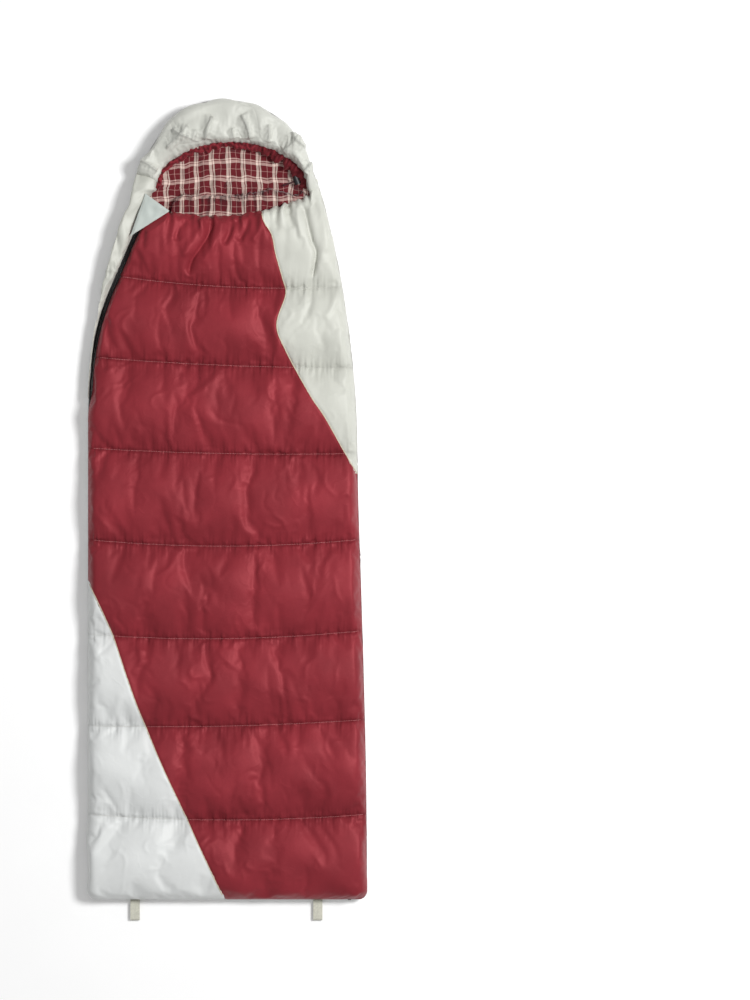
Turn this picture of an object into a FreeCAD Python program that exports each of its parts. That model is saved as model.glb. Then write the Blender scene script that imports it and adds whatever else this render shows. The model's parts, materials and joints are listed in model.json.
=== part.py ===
import FreeCAD, Part
import Sketcher

import math
import os

from FreeCAD import Rotation, Vector

# Mummy sleeping bag, lying on its back and zipped up. Millimetres, +Z up, +Y towards the head,
# X across, origin under the middle of its box. The back quilt lies flat on the ground, the hood
# roll, the left rim and the right side fold stand on it, and the front quilt folds open about a
# straight crease that runs from the right foot corner to the right end of the face opening.

doc = FreeCAD.newDocument("SleepingBag")
sheet = doc.addObject("Spreadsheet::Sheet", "Dims")

DIMENSIONS = (
    ("bag_half_width", 382, "half the width at the foot"),
    ("head_end", 1125, "top of the hood"),
    ("foot_end", -1065, "foot edge"),
    ("corner_radius", 44.4, "foot corners"),
    ("back_thickness", 27, "back quilt"),
    ("back_edge_ease", 12, "lower edge of the back quilt"),
    ("front_bottom", 39, "lining side of the front quilt"),
    ("front_crown", 79, "top of each tube of filling"),
    ("seam_level", 55, "height of the front quilt lines"),
    ("front_edge_ease", 18, "upper edge of the front quilt"),
    ("hood_top", 102, "top of the hood roll"),
    ("hood_edge_ease", 27, "outer edge of the hood roll"),
    ("skin", 1.2, "one layer of fabric"),
    ("front_seam_head", 935, "where the last tube of the front would end"),
    ("front_seam_first", 632, "front quilt line nearest the head"),
    ("front_seam_pitch", 245, "front quilt lines"),
    ("back_seam_first", 640, "back quilt line nearest the head"),
    ("back_seam_pitch", 256, "back quilt lines"),
    ("seam_count", 7, "quilt lines on each side"),
    ("back_seam_depth", 7, "groove of a back quilt line"),
    ("back_seam_width", 30, "groove of a back quilt line"),
    ("opening_half_span", 210, "face opening"),
    ("opening_rise", 132, "face opening"),
    ("opening_small_radius", 95, "face opening"),
    ("opening_base", 880, "ends of the face opening"),
    ("opening_centre", 11, "middle of the face opening"),
    ("casing_width", 17, "gathered edge of the hood"),
    ("casing_height", 18, "gathered edge of the hood"),
    ("cord_diameter", 4, "drawcord"),
    ("crease_gap", 0.8, "clearance along the crease"),
    ("zip_high", 42, "zip plane beside the neck"),
    ("zip_low", 33, "zip plane round the side and foot"),
    ("zip_inset", 6.4, "zip plane inside the edge of the bag"),
    ("zip_channel", 6.5, "half width of the zip channel"),
    ("tape_thickness", 0.8, "zip tape"),
    ("coil_width", 2.6, "one row of the zip coil"),
    ("coil_height", 3, "zip coil"),
    ("chain_gap", 0.4, "between the two rows"),
    ("slider_length", 22, "zip slider"),
    ("slider_width", 10.4, "zip slider, at its mouths"),
    ("slider_tail", 8.4, "zip slider, at its narrow end"),
    ("slider_plate", 1.5, "zip slider"),
    ("slider_mouth", 5.2, "inside height of the zip slider"),
    ("pull_length", 24, "zip pull"),
    ("pull_width", 7.6, "zip pull"),
    ("pull_thickness", 1.6, "zip pull"),
    ("tab_level", 72, "under side of the neck tab"),
    ("tab_thickness", 2.5, "neck tab"),
    ("loop_width", 25, "hanging loop"),
    ("loop_reach", 60, "hanging loop beyond the foot"),
    ("loop_height", 11, "hanging loop"),
    ("webbing", 1.6, "hanging loop"),
    ("lock_diameter", 17, "cord lock"),
    ("lock_length", 20, "cord lock"),
    ("button_travel", 4, "cord lock"),
)
for row, (alias, value, note) in enumerate(DIMENSIONS, 1):
    sheet.set(f"A{row}", alias)
    sheet.set(f"B{row}", str(value))
    sheet.set(f"C{row}", note)
    sheet.setAlias(f"B{row}", alias)
doc.recompute()


def dim(alias):
    return float(sheet.get(alias))


HALF, HEAD, FOOT = dim("bag_half_width"), dim("head_end"), dim("foot_end")
CORNER, SKIN, CREASE_GAP = dim("corner_radius"), dim("skin"), dim("crease_gap")
BACK, FRONT, CROWN = dim("back_thickness"), dim("front_bottom"), dim("front_crown")
HIGH, LOW, INSET, CHANNEL = dim("zip_high"), dim("zip_low"), dim("zip_inset"), dim("zip_channel")
BEYOND = 1300.0  # farther out than any edge of the bag
ABOVE = 200.0  # higher than any part of the bag


# ---------------------------------------------------------------- helpers
def flat(x, y, z=0.0):
    return Vector(x, y, z)


def line(a, b):
    return Part.LineSegment(a, b).toShape()


def polygon(points):
    return [line(a, b) for a, b in zip(points, points[1:])]


def tangent_arc(start, heading, end):
    """The arc that leaves `start` along `heading` and reaches `end`."""
    chord = end - start
    angle = math.atan2(heading.x * chord.y - heading.y * chord.x, heading.dot(chord))
    bow = flat(chord.y, -chord.x) * (0.5 * math.tan(angle / 2))
    return Part.Arc(start, (start + end) * 0.5 + bow, end).toShape()


def arc_pair(start, heading, end, last_heading):
    """Two arcs, tangent to each other, between two points with given headings."""
    span, both = end - start, heading + last_heading
    spread = 2 * (1 - heading.dot(last_heading))
    ahead = span.dot(both)
    if spread < 1e-9:
        reach = span.dot(span) / (4 * span.dot(last_heading))
    else:
        reach = (math.sqrt(ahead**2 + spread * span.dot(span)) - ahead) / spread
    joint = (start + end + (heading - last_heading) * reach) * 0.5
    second = tangent_arc(end, last_heading * -1, joint)
    return [tangent_arc(start, heading, joint), second]


def arc_chain(points, heading, last_heading):
    """A smooth run of arcs through `points`, with the given headings at its ends."""
    headings = [heading]
    for before, point, after in zip(points, points[1:], points[2:]):
        near, far = point - before, after - point
        share = far.Length / near.Length
        headings.append((near * share + far * (1 / share)).normalize())
    headings.append(last_heading)
    edges = []
    for number in range(len(points) - 1):
        edges += arc_pair(points[number], headings[number], points[number + 1], headings[number + 1])
    return edges


def profile(name, edges):
    """A closed face as a document object, which extrusions and booleans then use."""
    feature = doc.addObject("Part::Feature", name)
    feature.Shape = Part.Face(Part.Wire(Part.sortEdges(edges)[0]))
    return feature


def extrude(name, base, start, length, along=Vector(0, 0, 1)):
    """An extrusion from `start` along its direction; words among the sizes are sheet expressions."""
    solid = doc.addObject("Part::Extrusion", name)
    solid.Base = base
    solid.DirMode = "Custom"
    solid.Dir = along
    solid.Solid = True
    solid.setExpression("LengthFwd", str(length))
    axis = "z" if along.z else "x"
    solid.setExpression(f"Placement.Base.{axis}", str(start))
    return solid


def cut(name, base, tool):
    result = doc.addObject("Part::Cut", name)
    result.Base, result.Tool = base, tool
    return result


def common(name, *shapes):
    result = doc.addObject("Part::MultiCommon", name)
    result.Shapes = list(shapes)
    return result


def fuse(name, *shapes):
    result = doc.addObject("Part::MultiFuse", name)
    result.Shapes = list(shapes)
    return result


def eased(name, base, size, level):
    """A chamfer on every edge of `base` that lies at one level."""
    doc.recompute()
    result = doc.addObject("Part::Chamfer", name)
    result.Base = base
    flat_edges = [
        number
        for number, edge in enumerate(base.Shape.Edges, 1)
        if abs(edge.BoundBox.ZMin - level) < 0.01 and abs(edge.BoundBox.ZMax - level) < 0.01
    ]
    result.Edges = [(number, size, size) for number in flat_edges]
    return result


parts = {}


def piece(name, feature):
    feature.Label = name
    parts[name] = feature
    return feature


# ---------------------------------------------------------------- plan of the bag
# The right edge and the hood: a few points that the edge curve passes, from the left
# straight side over the head to the right foot corner.
EDGE_POINTS = (
    (-382, 240), (-358, 522), (-281, 796), (-206, 1000), (-130, 1092), (-20, 1124.6),
    (96, 1102), (190, 1026), (244, 905), (295, 714), (341, 420), (361, -60), (382, -1020.6),
)  # fmt: skip


def bag_outline(inset=0.0):
    """The plan of the whole bag, drawn in by `inset` on every side."""
    across = (HALF - inset) / HALF
    half_length = (HEAD - FOOT) / 2
    middle = (HEAD + FOOT) / 2
    along = (half_length - inset) / half_length
    points = [flat(x * across, middle + (y - middle) * along) for x, y in EDGE_POINTS]
    side, foot = HALF - inset, FOOT + inset
    right, left = points[-1], points[0]
    radius = right.y - foot
    turn = radius * (1 - math.sqrt(0.5))
    return arc_chain(points, flat(0, 1), flat(0, -1)) + [
        Part.Arc(right, flat(side - turn, foot + turn), flat(side - radius, foot)).toShape(),
        line(flat(side - radius, foot), flat(radius - side, foot)),
        Part.Arc(
            flat(radius - side, foot), flat(turn - side, foot + turn), flat(-side, foot + radius)
        ).toShape(),
        line(flat(-side, foot + radius), left),
    ]


plan = profile("BagPlan", bag_outline())
plan_core = profile("BagPlanCore", bag_outline(SKIN))

# The crease, about which the front folds open.
CREASE_FOOT, CREASE_HEAD = flat(HALF, FOOT), flat(226, 866)
CREASE_ALONG = (CREASE_HEAD - CREASE_FOOT).normalize()
CREASE_OUT = flat(CREASE_ALONG.y, -CREASE_ALONG.x)


def crease_point(reach, out):
    """A point of the crease, `reach` past its head end and `out` to its right."""
    return CREASE_HEAD + CREASE_ALONG * reach + CREASE_OUT * out


# ---------------------------------------------------------------- line of the zip
# Down the left of the neck, in a long bend to the left edge, round the corner and along the foot.
ZIP_TOP, ZIP_BEND = flat(-212, 847), flat(-315, 607)
ZIP_END_X = 350.0
SIDE_X, FOOT_Y = INSET - HALF, FOOT + INSET
TURN_RADIUS = CORNER - INSET
neck_run = (ZIP_BEND - ZIP_TOP).normalize()
meet = (SIDE_X - ZIP_BEND.x) / neck_run.x  # from the bend to where the two straights would meet
BEND_ANGLE = math.acos(-neck_run.y)
BEND_RADIUS = meet / math.tan(BEND_ANGLE / 2)
BEND_END = flat(SIDE_X, ZIP_BEND.y + meet * neck_run.y - meet)
BEND_CENTRE = flat(SIDE_X + BEND_RADIUS, BEND_END.y)
TURN_CENTRE = flat(SIDE_X + TURN_RADIUS, FOOT_Y + TURN_RADIUS)


def inward(direction):
    return flat(-direction.y, direction.x)


NECK_IN = inward(neck_run)


def on_arc(centre, radius, angle):
    return centre + flat(math.cos(angle), math.sin(angle)) * radius


def bend_point(fraction, offset):
    """A point of the long bend, `offset` inside the zip."""
    angle = math.pi - BEND_ANGLE * (1 - fraction)
    return on_arc(BEND_CENTRE, BEND_RADIUS - offset, angle)


def arc(centre, radius, start, end):
    middle = (start + end) / 2
    return Part.Arc(*(on_arc(centre, radius, angle) for angle in (start, middle, end))).toShape()


def neck_stretch(offset, trim=0.0):
    start = ZIP_TOP + neck_run * trim
    return [line(start + NECK_IN * offset, ZIP_BEND + NECK_IN * offset)]


def bend_stretch(offset):
    return [Part.Arc(*(bend_point(part, offset) for part in (0, 0.5, 1))).toShape()]


def side_stretch(offset, end=ZIP_END_X):
    top, turn, foot = BEND_END.y, TURN_CENTRE, FOOT_Y + offset
    return [
        line(flat(SIDE_X + offset, top), flat(SIDE_X + offset, turn.y)),
        arc(turn, TURN_RADIUS - offset, math.pi, 1.5 * math.pi),
        line(flat(turn.x, foot), flat(end, foot)),
    ]


def band(name, stretch, inner, outer, start, length):
    """A strip along a stretch of the zip between two distances inside it, extruded upwards."""
    first, second = stretch(inner), stretch(outer)
    ends = [
        line(first[0].firstVertex(True).Point, second[0].firstVertex(True).Point),
        line(first[-1].lastVertex(True).Point, second[-1].lastVertex(True).Point),
    ]
    return extrude(name, profile(name + "Plan", first + second + ends), start, length)


# ---------------------------------------------------------------- face opening
def opening_arch(offset):
    """The arch over the face: three tangent arcs, drawn out by `offset`."""
    span, rise, small = (dim("opening_" + word) for word in ("half_span", "rise", "small_radius"))
    middle, base = dim("opening_centre"), dim("opening_base")
    large = (span**2 + rise**2 - 2 * span * small) / (2 * (rise - small))
    joint = math.atan2(large - rise, span - small)
    return [
        arc(flat(middle + span - small, base), small + offset, 0, joint),
        arc(flat(middle, base + rise - large), large + offset, joint, math.pi - joint),
        arc(flat(middle - span + small, base), small + offset, math.pi - joint, math.pi),
    ]


def arch_band(name, inner, outer, start, length):
    first, second = opening_arch(inner), opening_arch(outer)
    ends = [
        line(first[0].firstVertex(True).Point, second[0].firstVertex(True).Point),
        line(first[-1].lastVertex(True).Point, second[-1].lastVertex(True).Point),
    ]
    return extrude(name, profile(name + "Plan", first + second + ends), start, length)


arch = opening_arch(0)
ARCH_RIGHT, ARCH_LEFT = arch[0].firstVertex(True).Point, arch[-1].lastVertex(True).Point

# ---------------------------------------------------------------- plan of the front
NECK_LEFT, NECK_MIDDLE = flat(-158, 818), flat(0, 808)
neck_edge = Part.Arc(NECK_LEFT, NECK_MIDDLE, crease_point(0, -CREASE_GAP))
front_left = [
    line(ZIP_TOP + NECK_IN * CHANNEL, ZIP_BEND + NECK_IN * CHANNEL),
    Part.Arc(*(bend_point(part, CHANNEL) for part in (0, 0.5, 1))).toShape(),
]
front_plan = profile(
    "FrontPlan",
    front_left
    + polygon([
        bend_point(1, CHANNEL),
        flat(-BEYOND, BEND_END.y),
        flat(-BEYOND, -BEYOND),
        crease_point(-2 * BEYOND, -CREASE_GAP),
        crease_point(0, -CREASE_GAP),
    ])
    + [neck_edge.toShape(), line(NECK_LEFT, ZIP_TOP + NECK_IN * CHANNEL)],
)
# All that lies inside the left rim, the hood arch and the crease.
inner_plan = profile(
    "InnerPlan",
    arch
    + [
        line(ARCH_LEFT, ZIP_TOP - NECK_IN * CHANNEL),
        line(ZIP_TOP - NECK_IN * CHANNEL, ZIP_BEND - NECK_IN * CHANNEL),
        Part.Arc(*(bend_point(part, -CHANNEL) for part in (0, 0.5, 1))).toShape(),
    ]
    + polygon([
        bend_point(1, -CHANNEL),
        flat(-BEYOND, BEND_END.y),
        flat(-BEYOND, -BEYOND),
        crease_point(-2 * BEYOND, 0),
        crease_point(0, 0),
        ARCH_RIGHT,
    ]),
)

# The fabric panels of the front: red in the middle, pale at the upper right and lower left.
RIGHT_SEAM_POINTS = (
    (94, 880), (97, 800), (122, 753), (133, 700), (152, 632), (160, 590),
    (136, 508), (160, 437), (226, 316), (268, 253), (336, 133), (420, 0),
)  # fmt: skip
LEFT_SEAM_POINTS = ((-420, -130), (-382, -190), (-316, -333), (-213, -615), (-7, -1065), (12, -1110))


def seam_curve(points):
    curve = Part.BSplineCurve()
    curve.interpolate([flat(x, y) for x, y in points])
    return curve.toShape()


def beyond_seam(points, corner):
    """The plan area on one side of a seam curve, closed round a far corner."""
    first, last = flat(*points[0]), flat(*points[-1])
    return [seam_curve(points)] + polygon([last, *corner, first])


right_panel_plan = profile(
    "RightPanelPlan",
    beyond_seam(RIGHT_SEAM_POINTS, [flat(BEYOND, 0), flat(BEYOND, BEYOND), flat(94, BEYOND)]),
)
foot_panel_plan = profile(
    "FootPanelPlan",
    beyond_seam(LEFT_SEAM_POINTS, [flat(12, -BEYOND), flat(-BEYOND, -BEYOND), flat(-BEYOND, -130)]),
)


# ---------------------------------------------------------------- quilted solids
OVERCUT = 1.0  # a block stands this much above the arcs that cut its top


def puffed_profile(name, inset):
    """The front's long section: a row of arcs between quilt lines, on a flat underside."""
    first, pitch, count = dim("front_seam_first"), dim("front_seam_pitch"), int(dim("seam_count"))
    lines = [dim("front_seam_head")] + [first - pitch * number for number in range(count)]
    lines.append(min(lines) - pitch)
    low, high = dim("seam_level") - inset, CROWN - inset
    edges = [
        Part.Arc(Vector(0, a, low), Vector(0, (a + b) / 2, high), Vector(0, b, low)).toShape()
        for a, b in zip(lines, lines[1:])
    ]
    ends = [Vector(0, lines[-1], low), Vector(0, lines[-1], 0), Vector(0, lines[0], 0)]
    edges += polygon(ends + [Vector(0, lines[0], low)])
    return profile(name, edges)


def puffed_body(name, base_plan, inset):
    """The plan raised to the crown, its upper edge eased, cut to the puffed long section."""
    top = CROWN - inset + OVERCUT
    block = extrude(name + "Block", base_plan, "Dims.back_thickness", f"{top} - Dims.back_thickness")
    domed = eased(name + "Dome", block, dim("front_edge_ease"), top)
    tubes = extrude(
        name + "Tubes", puffed_profile(name + "Profile", inset), -BEYOND, 2 * BEYOND, Vector(1, 0, 0)
    )
    return common(name, domed, tubes)


outer = puffed_body("Outer", plan, 0)
core = puffed_body("Core", plan_core, SKIN)

# The groove in which the zip runs round the side and the foot.
ZIP_GROOVE = (17.0, 49.0)
zip_groove = band(
    "ZipGroove", side_stretch, -40, dim("tape_thickness") / 2, ZIP_GROOVE[0],
    ZIP_GROOVE[1] - ZIP_GROOVE[0],
)  # fmt: skip
BEND_EASE = 0.3  # the twisting zip is made of short straights, which reach past its arc
bend_channel = band(
    "BendChannel", bend_stretch, -CHANNEL - BEND_EASE, CHANNEL + BEND_EASE, LOW - 2 * CHANNEL, ABOVE
)
zip_room = fuse("ZipRoom", zip_groove, bend_channel)

# The neck tab, which folds over the top of the zip from the front to the left rim.
TAB_TOP, TAB_RIGHT, TAB_FOOT = flat(-223, 866), flat(-156, 818), flat(-265, 749)
PATCH_THICKNESS, TAB_CLEAR = 1.3, 0.4
tab_room_plan = profile(
    "TabRoomPlan",
    polygon([
        TAB_TOP + flat(-3, 8), TAB_RIGHT + flat(4, 12), TAB_RIGHT + flat(2, -3),
        TAB_FOOT + flat(2, -4), TAB_FOOT + flat(-4, 0), TAB_TOP + flat(-3, 8),
    ]),
)  # fmt: skip
tab_room = extrude("TabRoom", tab_room_plan, f"Dims.tab_level - {TAB_CLEAR}", ABOVE)
patch_step = 2 * PATCH_THICKNESS + TAB_CLEAR
rim_tab_room = extrude("RimTabRoom", tab_room_plan, f"Dims.tab_level - {patch_step}", ABOVE)
front_room = fuse("FrontRoom", zip_room, tab_room)

front_block = extrude("FrontBlock", front_plan, "Dims.front_bottom", ABOVE)
front_outer = cut("FrontOuter", common("FrontOuterWhole", outer, front_block), front_room)
lining_block = extrude("LiningBlock", front_plan, "Dims.front_bottom", "Dims.skin")
filling_block = extrude("FillingBlock", front_plan, "Dims.front_bottom + Dims.skin", ABOVE)
front_filling = cut(
    "FrontFilling", common("FrontFillingWhole", core, filling_block), front_room
)
piece("front_insulation", front_filling)
front_lining = cut("FrontLining", common("FrontLiningWhole", core, lining_block), front_room)
piece("front_lining", front_lining)
front_skin = cut("FrontSkin", cut("FrontSkinWhole", front_outer, front_filling), front_lining)
right_panel = extrude("RightPanel", right_panel_plan, 0, ABOVE)
foot_panel = extrude("FootPanel", foot_panel_plan, 0, ABOVE)
piece("front_shell_side", common("FrontShellSide", front_skin, right_panel))
piece("front_shell_foot", common("FrontShellFoot", front_skin, foot_panel))
pale_panels = fuse("PalePanels", right_panel, foot_panel)
piece("front_shell_red", cut("FrontShellRed", front_skin, pale_panels))

# Right side fold: what lies outside the crease stays down with the back quilt.
SIDE_REACH = 1860.0  # the fold runs out just short of the foot corner
side_end = crease_point(-SIDE_REACH, 0)
side_plan = profile(
    "SidePlan",
    polygon([
        crease_point(0, 0), side_end, flat(BEYOND, side_end.y), flat(BEYOND, CREASE_HEAD.y),
        crease_point(0, 0),
    ]),
)  # fmt: skip
side_block = extrude("SideBlock", side_plan, "Dims.back_thickness", ABOVE)
side_outer = common("SideOuter", outer, side_block)
side_filling = common("SideFilling", core, side_block)
piece("side_insulation", side_filling)
side_skin = cut("SideSkin", side_outer, side_filling)
piece("side_shell_pale", common("SideShellPale", side_skin, right_panel))
piece("side_shell_red", cut("SideShellRed", side_skin, right_panel))

# ---------------------------------------------------------------- hood and left rim
HOOD_FOLD = flat(-195, 880)  # where the crease between hood roll and left rim meets the opening
fold_low = HOOD_FOLD + flat(1, -1) * (HOOD_FOLD.y - CREASE_HEAD.y)
fold_high = HOOD_FOLD + flat(-1, 1) * BEYOND
RIM_END = 560.0
hood_plan = profile(
    "HoodPlan",
    polygon([fold_low, flat(BEYOND, CREASE_HEAD.y), flat(BEYOND, fold_high.y), fold_high, fold_low]),
)
rim_plan = profile(
    "RimPlan",
    polygon([
        fold_low, fold_high, flat(fold_high.x, RIM_END), flat(fold_low.x, RIM_END), fold_low,
    ]),
)  # fmt: skip
inner_block = extrude("InnerBlock", inner_plan, 0, ABOVE)
CREST_SIDE, CREST_DROP = 290.0, 24.0  # the roll is lower at the ends of its arch


def hood_body(name, base_plan, inset):
    top = dim("hood_top") - inset
    block = extrude(
        name + "Block", base_plan, "Dims.back_thickness", f"{top + OVERCUT} - Dims.back_thickness"
    )
    domed = eased(name + "Dome", block, dim("hood_edge_ease") - inset, top + OVERCUT)
    low = top - CREST_DROP
    middle = dim("opening_centre")
    left, right = (Vector(middle + side * CREST_SIDE, 0, low) for side in (-1, 1))
    crest = [Part.Arc(left, Vector(middle, 0, top), right).toShape()]
    crest += polygon([right, Vector(right.x, 0, 0), Vector(left.x, 0, 0), left])
    crest_block = extrude(name + "Crest", profile(name + "CrestProfile", crest), 0, BEYOND)
    crest_block.Dir = Vector(0, 1, 0)
    crest_block.setExpression("Placement.Base.z", None)
    return common(name, domed, crest_block)


hood_region = cut("HoodRegion", extrude("HoodRegionBlock", hood_plan, 0, ABOVE), inner_block)
hood_outer = common("HoodOuter", hood_body("HoodFull", plan, 0), hood_region)
lining_band = arch_band("HoodLiningBand", 0, SKIN, "Dims.back_thickness", ABOVE)
hood_core = common("HoodCoreWhole", hood_body("HoodCore", plan_core, SKIN), hood_region)
hood_filling = piece("hood_insulation", cut("HoodFilling", hood_core, lining_band))
hood_lining = piece("hood_lining", common("HoodLining", hood_outer, lining_band))
piece("hood_shell", cut("HoodShell", cut("HoodSkin", hood_outer, hood_filling), hood_lining))

rim_block = extrude("RimBlock", rim_plan, "Dims.back_thickness", ABOVE)
rim_region = cut("RimRegion", rim_block, inner_block)
rim_tools = fuse("RimRoom", zip_room, rim_tab_room)
rim_outer = cut("RimOuter", common("RimOuterWhole", outer, rim_region), rim_tools)
rim_filling = cut("RimFilling", common("RimCoreWhole", core, rim_region), rim_tools)
piece("rim_insulation", rim_filling)
piece("rim_shell", cut("RimShell", rim_outer, rim_filling))

# ---------------------------------------------------------------- back quilt
def back_body(name, base_plan, inset, height):
    block = extrude(name + "Block", base_plan, inset, height)
    domed = eased(name + "Dome", block, dim("back_edge_ease") - inset, inset)
    first, pitch = dim("back_seam_first"), dim("back_seam_pitch")
    half, depth = dim("back_seam_width") / 2, dim("back_seam_depth") + inset
    grooves = []
    for number in range(int(dim("seam_count"))):
        y = first - pitch * number
        corners = [Vector(0, y - half, 0), Vector(0, y + half, 0), Vector(0, y, depth)]
        groove = profile(f"{name}Groove{number}Plan", polygon(corners + corners[:1]))
        across = Vector(1, 0, 0)
        grooves.append(extrude(f"{name}Groove{number}", groove, -BEYOND, 2 * BEYOND, across))
    return cut(name, cut(name + "Grooved", domed, fuse(name + "Grooves", *grooves)), zip_room)


back_outer = back_body("BackOuter", plan, 0, "Dims.back_thickness")
back_core = back_body("BackCore", plan_core, SKIN, "Dims.back_thickness - Dims.skin")
lining_layer = extrude("BackLiningLayer", plan, "Dims.back_thickness - Dims.skin", "Dims.skin")
back_lining = piece("back_lining", common("BackLining", back_core, lining_layer))
piece("back_insulation", cut("BackFilling", back_core, lining_layer))
piece("back_shell", cut("BackShell", back_outer, back_core))

# ---------------------------------------------------------------- gathered edges and drawcord
CASING_LOW, DUCT = 34.0, 5.0
CORD_SIDES, KNOT_RADIUS, KNOT_LENGTH = 6, 3.6, 6.0
casing_width, casing_height = dim("casing_width"), dim("casing_height")
cord_level = CASING_LOW + casing_height / 2
cord_radius = dim("cord_diameter") / 2
cord_line = -casing_width / 2

TAIL_ANGLE, TAIL_TURN, TAIL_LENGTH = math.radians(20), math.radians(200), 56.0
small_radius = dim("opening_small_radius")
arch_centre = flat(
    dim("opening_centre") + dim("opening_half_span") - small_radius, dim("opening_base"), cord_level
)
tail_start = on_arc(arch_centre, small_radius + cord_line, TAIL_ANGLE)
tail_along = on_arc(Vector(), 1, TAIL_TURN)


def tail_rod(name, radius, length, start=0.0):
    """A six-sided rod along the drawcord's tail."""
    rod = doc.addObject("Part::Prism", name)
    rod.Polygon, rod.Circumradius, rod.Height = CORD_SIDES, radius, length
    rod.Placement = FreeCAD.Placement(
        tail_start + tail_along * start, Rotation(Vector(0, 0, 1), tail_along)
    )
    return rod


casing_body = arch_band("CasingBody", -casing_width, 0, CASING_LOW, casing_height)
duct = arch_band(
    "Duct", cord_line - DUCT / 2, cord_line + DUCT / 2, cord_level - DUCT / 2, DUCT
)
eyelet = tail_rod("Eyelet", DUCT / 2, TAIL_LENGTH)
piece("hood_casing", cut("HoodCasing", casing_body, fuse("CasingHoles", duct, eyelet)))

cord_runs = []
for number, edge in enumerate(opening_arch(cord_line)):
    start = edge.firstVertex(True).Point + Vector(0, 0, cord_level)
    hub = edge.Curve.Center + Vector(0, 0, cord_level)
    out = (start - hub).normalize()
    turns = [2 * math.pi * side / CORD_SIDES for side in range(CORD_SIDES + 1)]
    corners = [
        start + (out * math.cos(turn) + Vector(0, 0, math.sin(turn))) * cord_radius for turn in turns
    ]
    ring = profile(f"CordRing{number}", polygon(corners))
    run = doc.addObject("Part::Revolution", f"CordRun{number}")
    run.Source, run.Base, run.Axis = ring, hub, Vector(0, 0, 1)
    run.Angle = math.degrees(edge.LastParameter - edge.FirstParameter)
    run.Solid = True
    cord_runs.append(run)
tail = tail_rod("Tail", cord_radius, TAIL_LENGTH)
knot = tail_rod("Knot", KNOT_RADIUS, KNOT_LENGTH, TAIL_LENGTH - KNOT_LENGTH / 2)
piece("hood_drawcord", fuse("Drawcord", *cord_runs, tail, knot))

# The gathered hem of the front's neck edge, with a flat elastic in it.
NECK_HEM, NECK_LOW, NECK_HEIGHT, ELASTIC = 42.0, 44.0, 13.0, (7.0, 2.0)
neck_circle = Part.Circle(NECK_LEFT, NECK_MIDDLE, crease_point(0, -CREASE_GAP))
neck_angles = [
    math.atan2(point.y - neck_circle.Center.y, point.x - neck_circle.Center.x)
    for point in (NECK_LEFT, crease_point(0, -CREASE_GAP))
]
neck_span = neck_angles[1] - neck_angles[0]
casing_angles = (neck_angles[0] + 0.02 * neck_span, neck_angles[1] - 0.17 * neck_span)


def neck_band(name, inner, width, low, height):
    start, end = casing_angles
    rings = [neck_circle.Radius - inner, neck_circle.Radius - inner - width]
    edges = [arc(neck_circle.Center, radius, start, end) for radius in rings]
    edges += [
        line(*(on_arc(neck_circle.Center, radius, angle) for radius in rings)) for angle in casing_angles
    ]
    return extrude(name, profile(name + "Plan", edges), low, height)


elastic_ring = NECK_HEM - 2 * ELASTIC[0]
elastic_level = NECK_LOW + NECK_HEIGHT / 2
neck_tunnel = neck_band("NeckTunnel", 0, NECK_HEM, NECK_LOW, NECK_HEIGHT)
neck_duct = neck_band(
    "NeckDuct", elastic_ring - 0.5, ELASTIC[0] + 1, elastic_level - 0.5, ELASTIC[1] + 1
)
piece("neck_casing", cut("NeckCasing", neck_tunnel, neck_duct))
piece("neck_elastic", neck_band("NeckElastic", elastic_ring, ELASTIC[0], elastic_level, ELASTIC[1]))

# ---------------------------------------------------------------- zip
COIL, COIL_HALF = dim("coil_width"), dim("coil_height") / 2
TAPE_HALF, GAP_HALF = dim("tape_thickness") / 2, dim("chain_gap") / 2
BEND_SPANS = 8


def zip_half(name, near, far, half_thickness, side, trim=0.0, end=ZIP_END_X):
    """One row of the zip: beside the other at the neck, above or below it round the side.

    `near` and `far` are distances from the middle of the zip, `side` is 1 for the front, and
    the row starts `trim` below the top of the zip and stops at `end` along the foot.
    """
    across = sorted((side * near, side * far))
    width = far - near
    neck = band(
        name + "Neck", lambda offset: neck_stretch(offset, trim), *across,
        HIGH - half_thickness, 2 * half_thickness,
    )  # fmt: skip
    round_side = band(
        name + "Side", lambda offset: side_stretch(offset, end), -half_thickness, half_thickness,
        LOW + across[0], width,
    )  # fmt: skip
    sections = []
    for number in range(BEND_SPANS + 1):
        part = number / BEND_SPANS
        turn = part * math.pi / 2
        centre = bend_point(part, 0) + Vector(0, 0, HIGH + (LOW - HIGH) * part)
        level = (BEND_CENTRE - bend_point(part, 0)).normalize()
        wide = level * math.cos(turn) + Vector(0, 0, math.sin(turn))
        thick = level * -math.sin(turn) + Vector(0, 0, math.cos(turn))
        corners = [
            centre + wide * w + thick * t
            for w, t in (
                (across[0], -half_thickness), (across[1], -half_thickness),
                (across[1], half_thickness), (across[0], half_thickness),
            )
        ]  # fmt: skip
        sections.append(Part.makePolygon(corners + corners[:1]))
    bend = doc.addObject("Part::Feature", name + "Bend")
    bend.Shape = Part.makeLoft(sections, True, True)
    return fuse(name, neck, bend, round_side)


UPPER_PARK, LOWER_PARK_X = 16.0, 334.0  # where the two sliders rest
WEDGE_LENGTH, WEDGE_CLEAR = 6.0, 0.3
meshed = dim("slider_length") / 2 - WEDGE_LENGTH - WEDGE_CLEAR  # from a slider's middle to its wedge
for word, side in (("front", 1), ("back", -1)):
    title = word.capitalize()
    piece(word + "_zip_tape", zip_half(title + "Tape", GAP_HALF + COIL, CHANNEL, TAPE_HALF, side))
    coil = zip_half(
        title + "Coil", GAP_HALF, GAP_HALF + COIL, COIL_HALF, side,
        UPPER_PARK - meshed, LOWER_PARK_X + meshed,
    )  # fmt: skip
    piece(word + "_zip_coil", coil)


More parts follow.
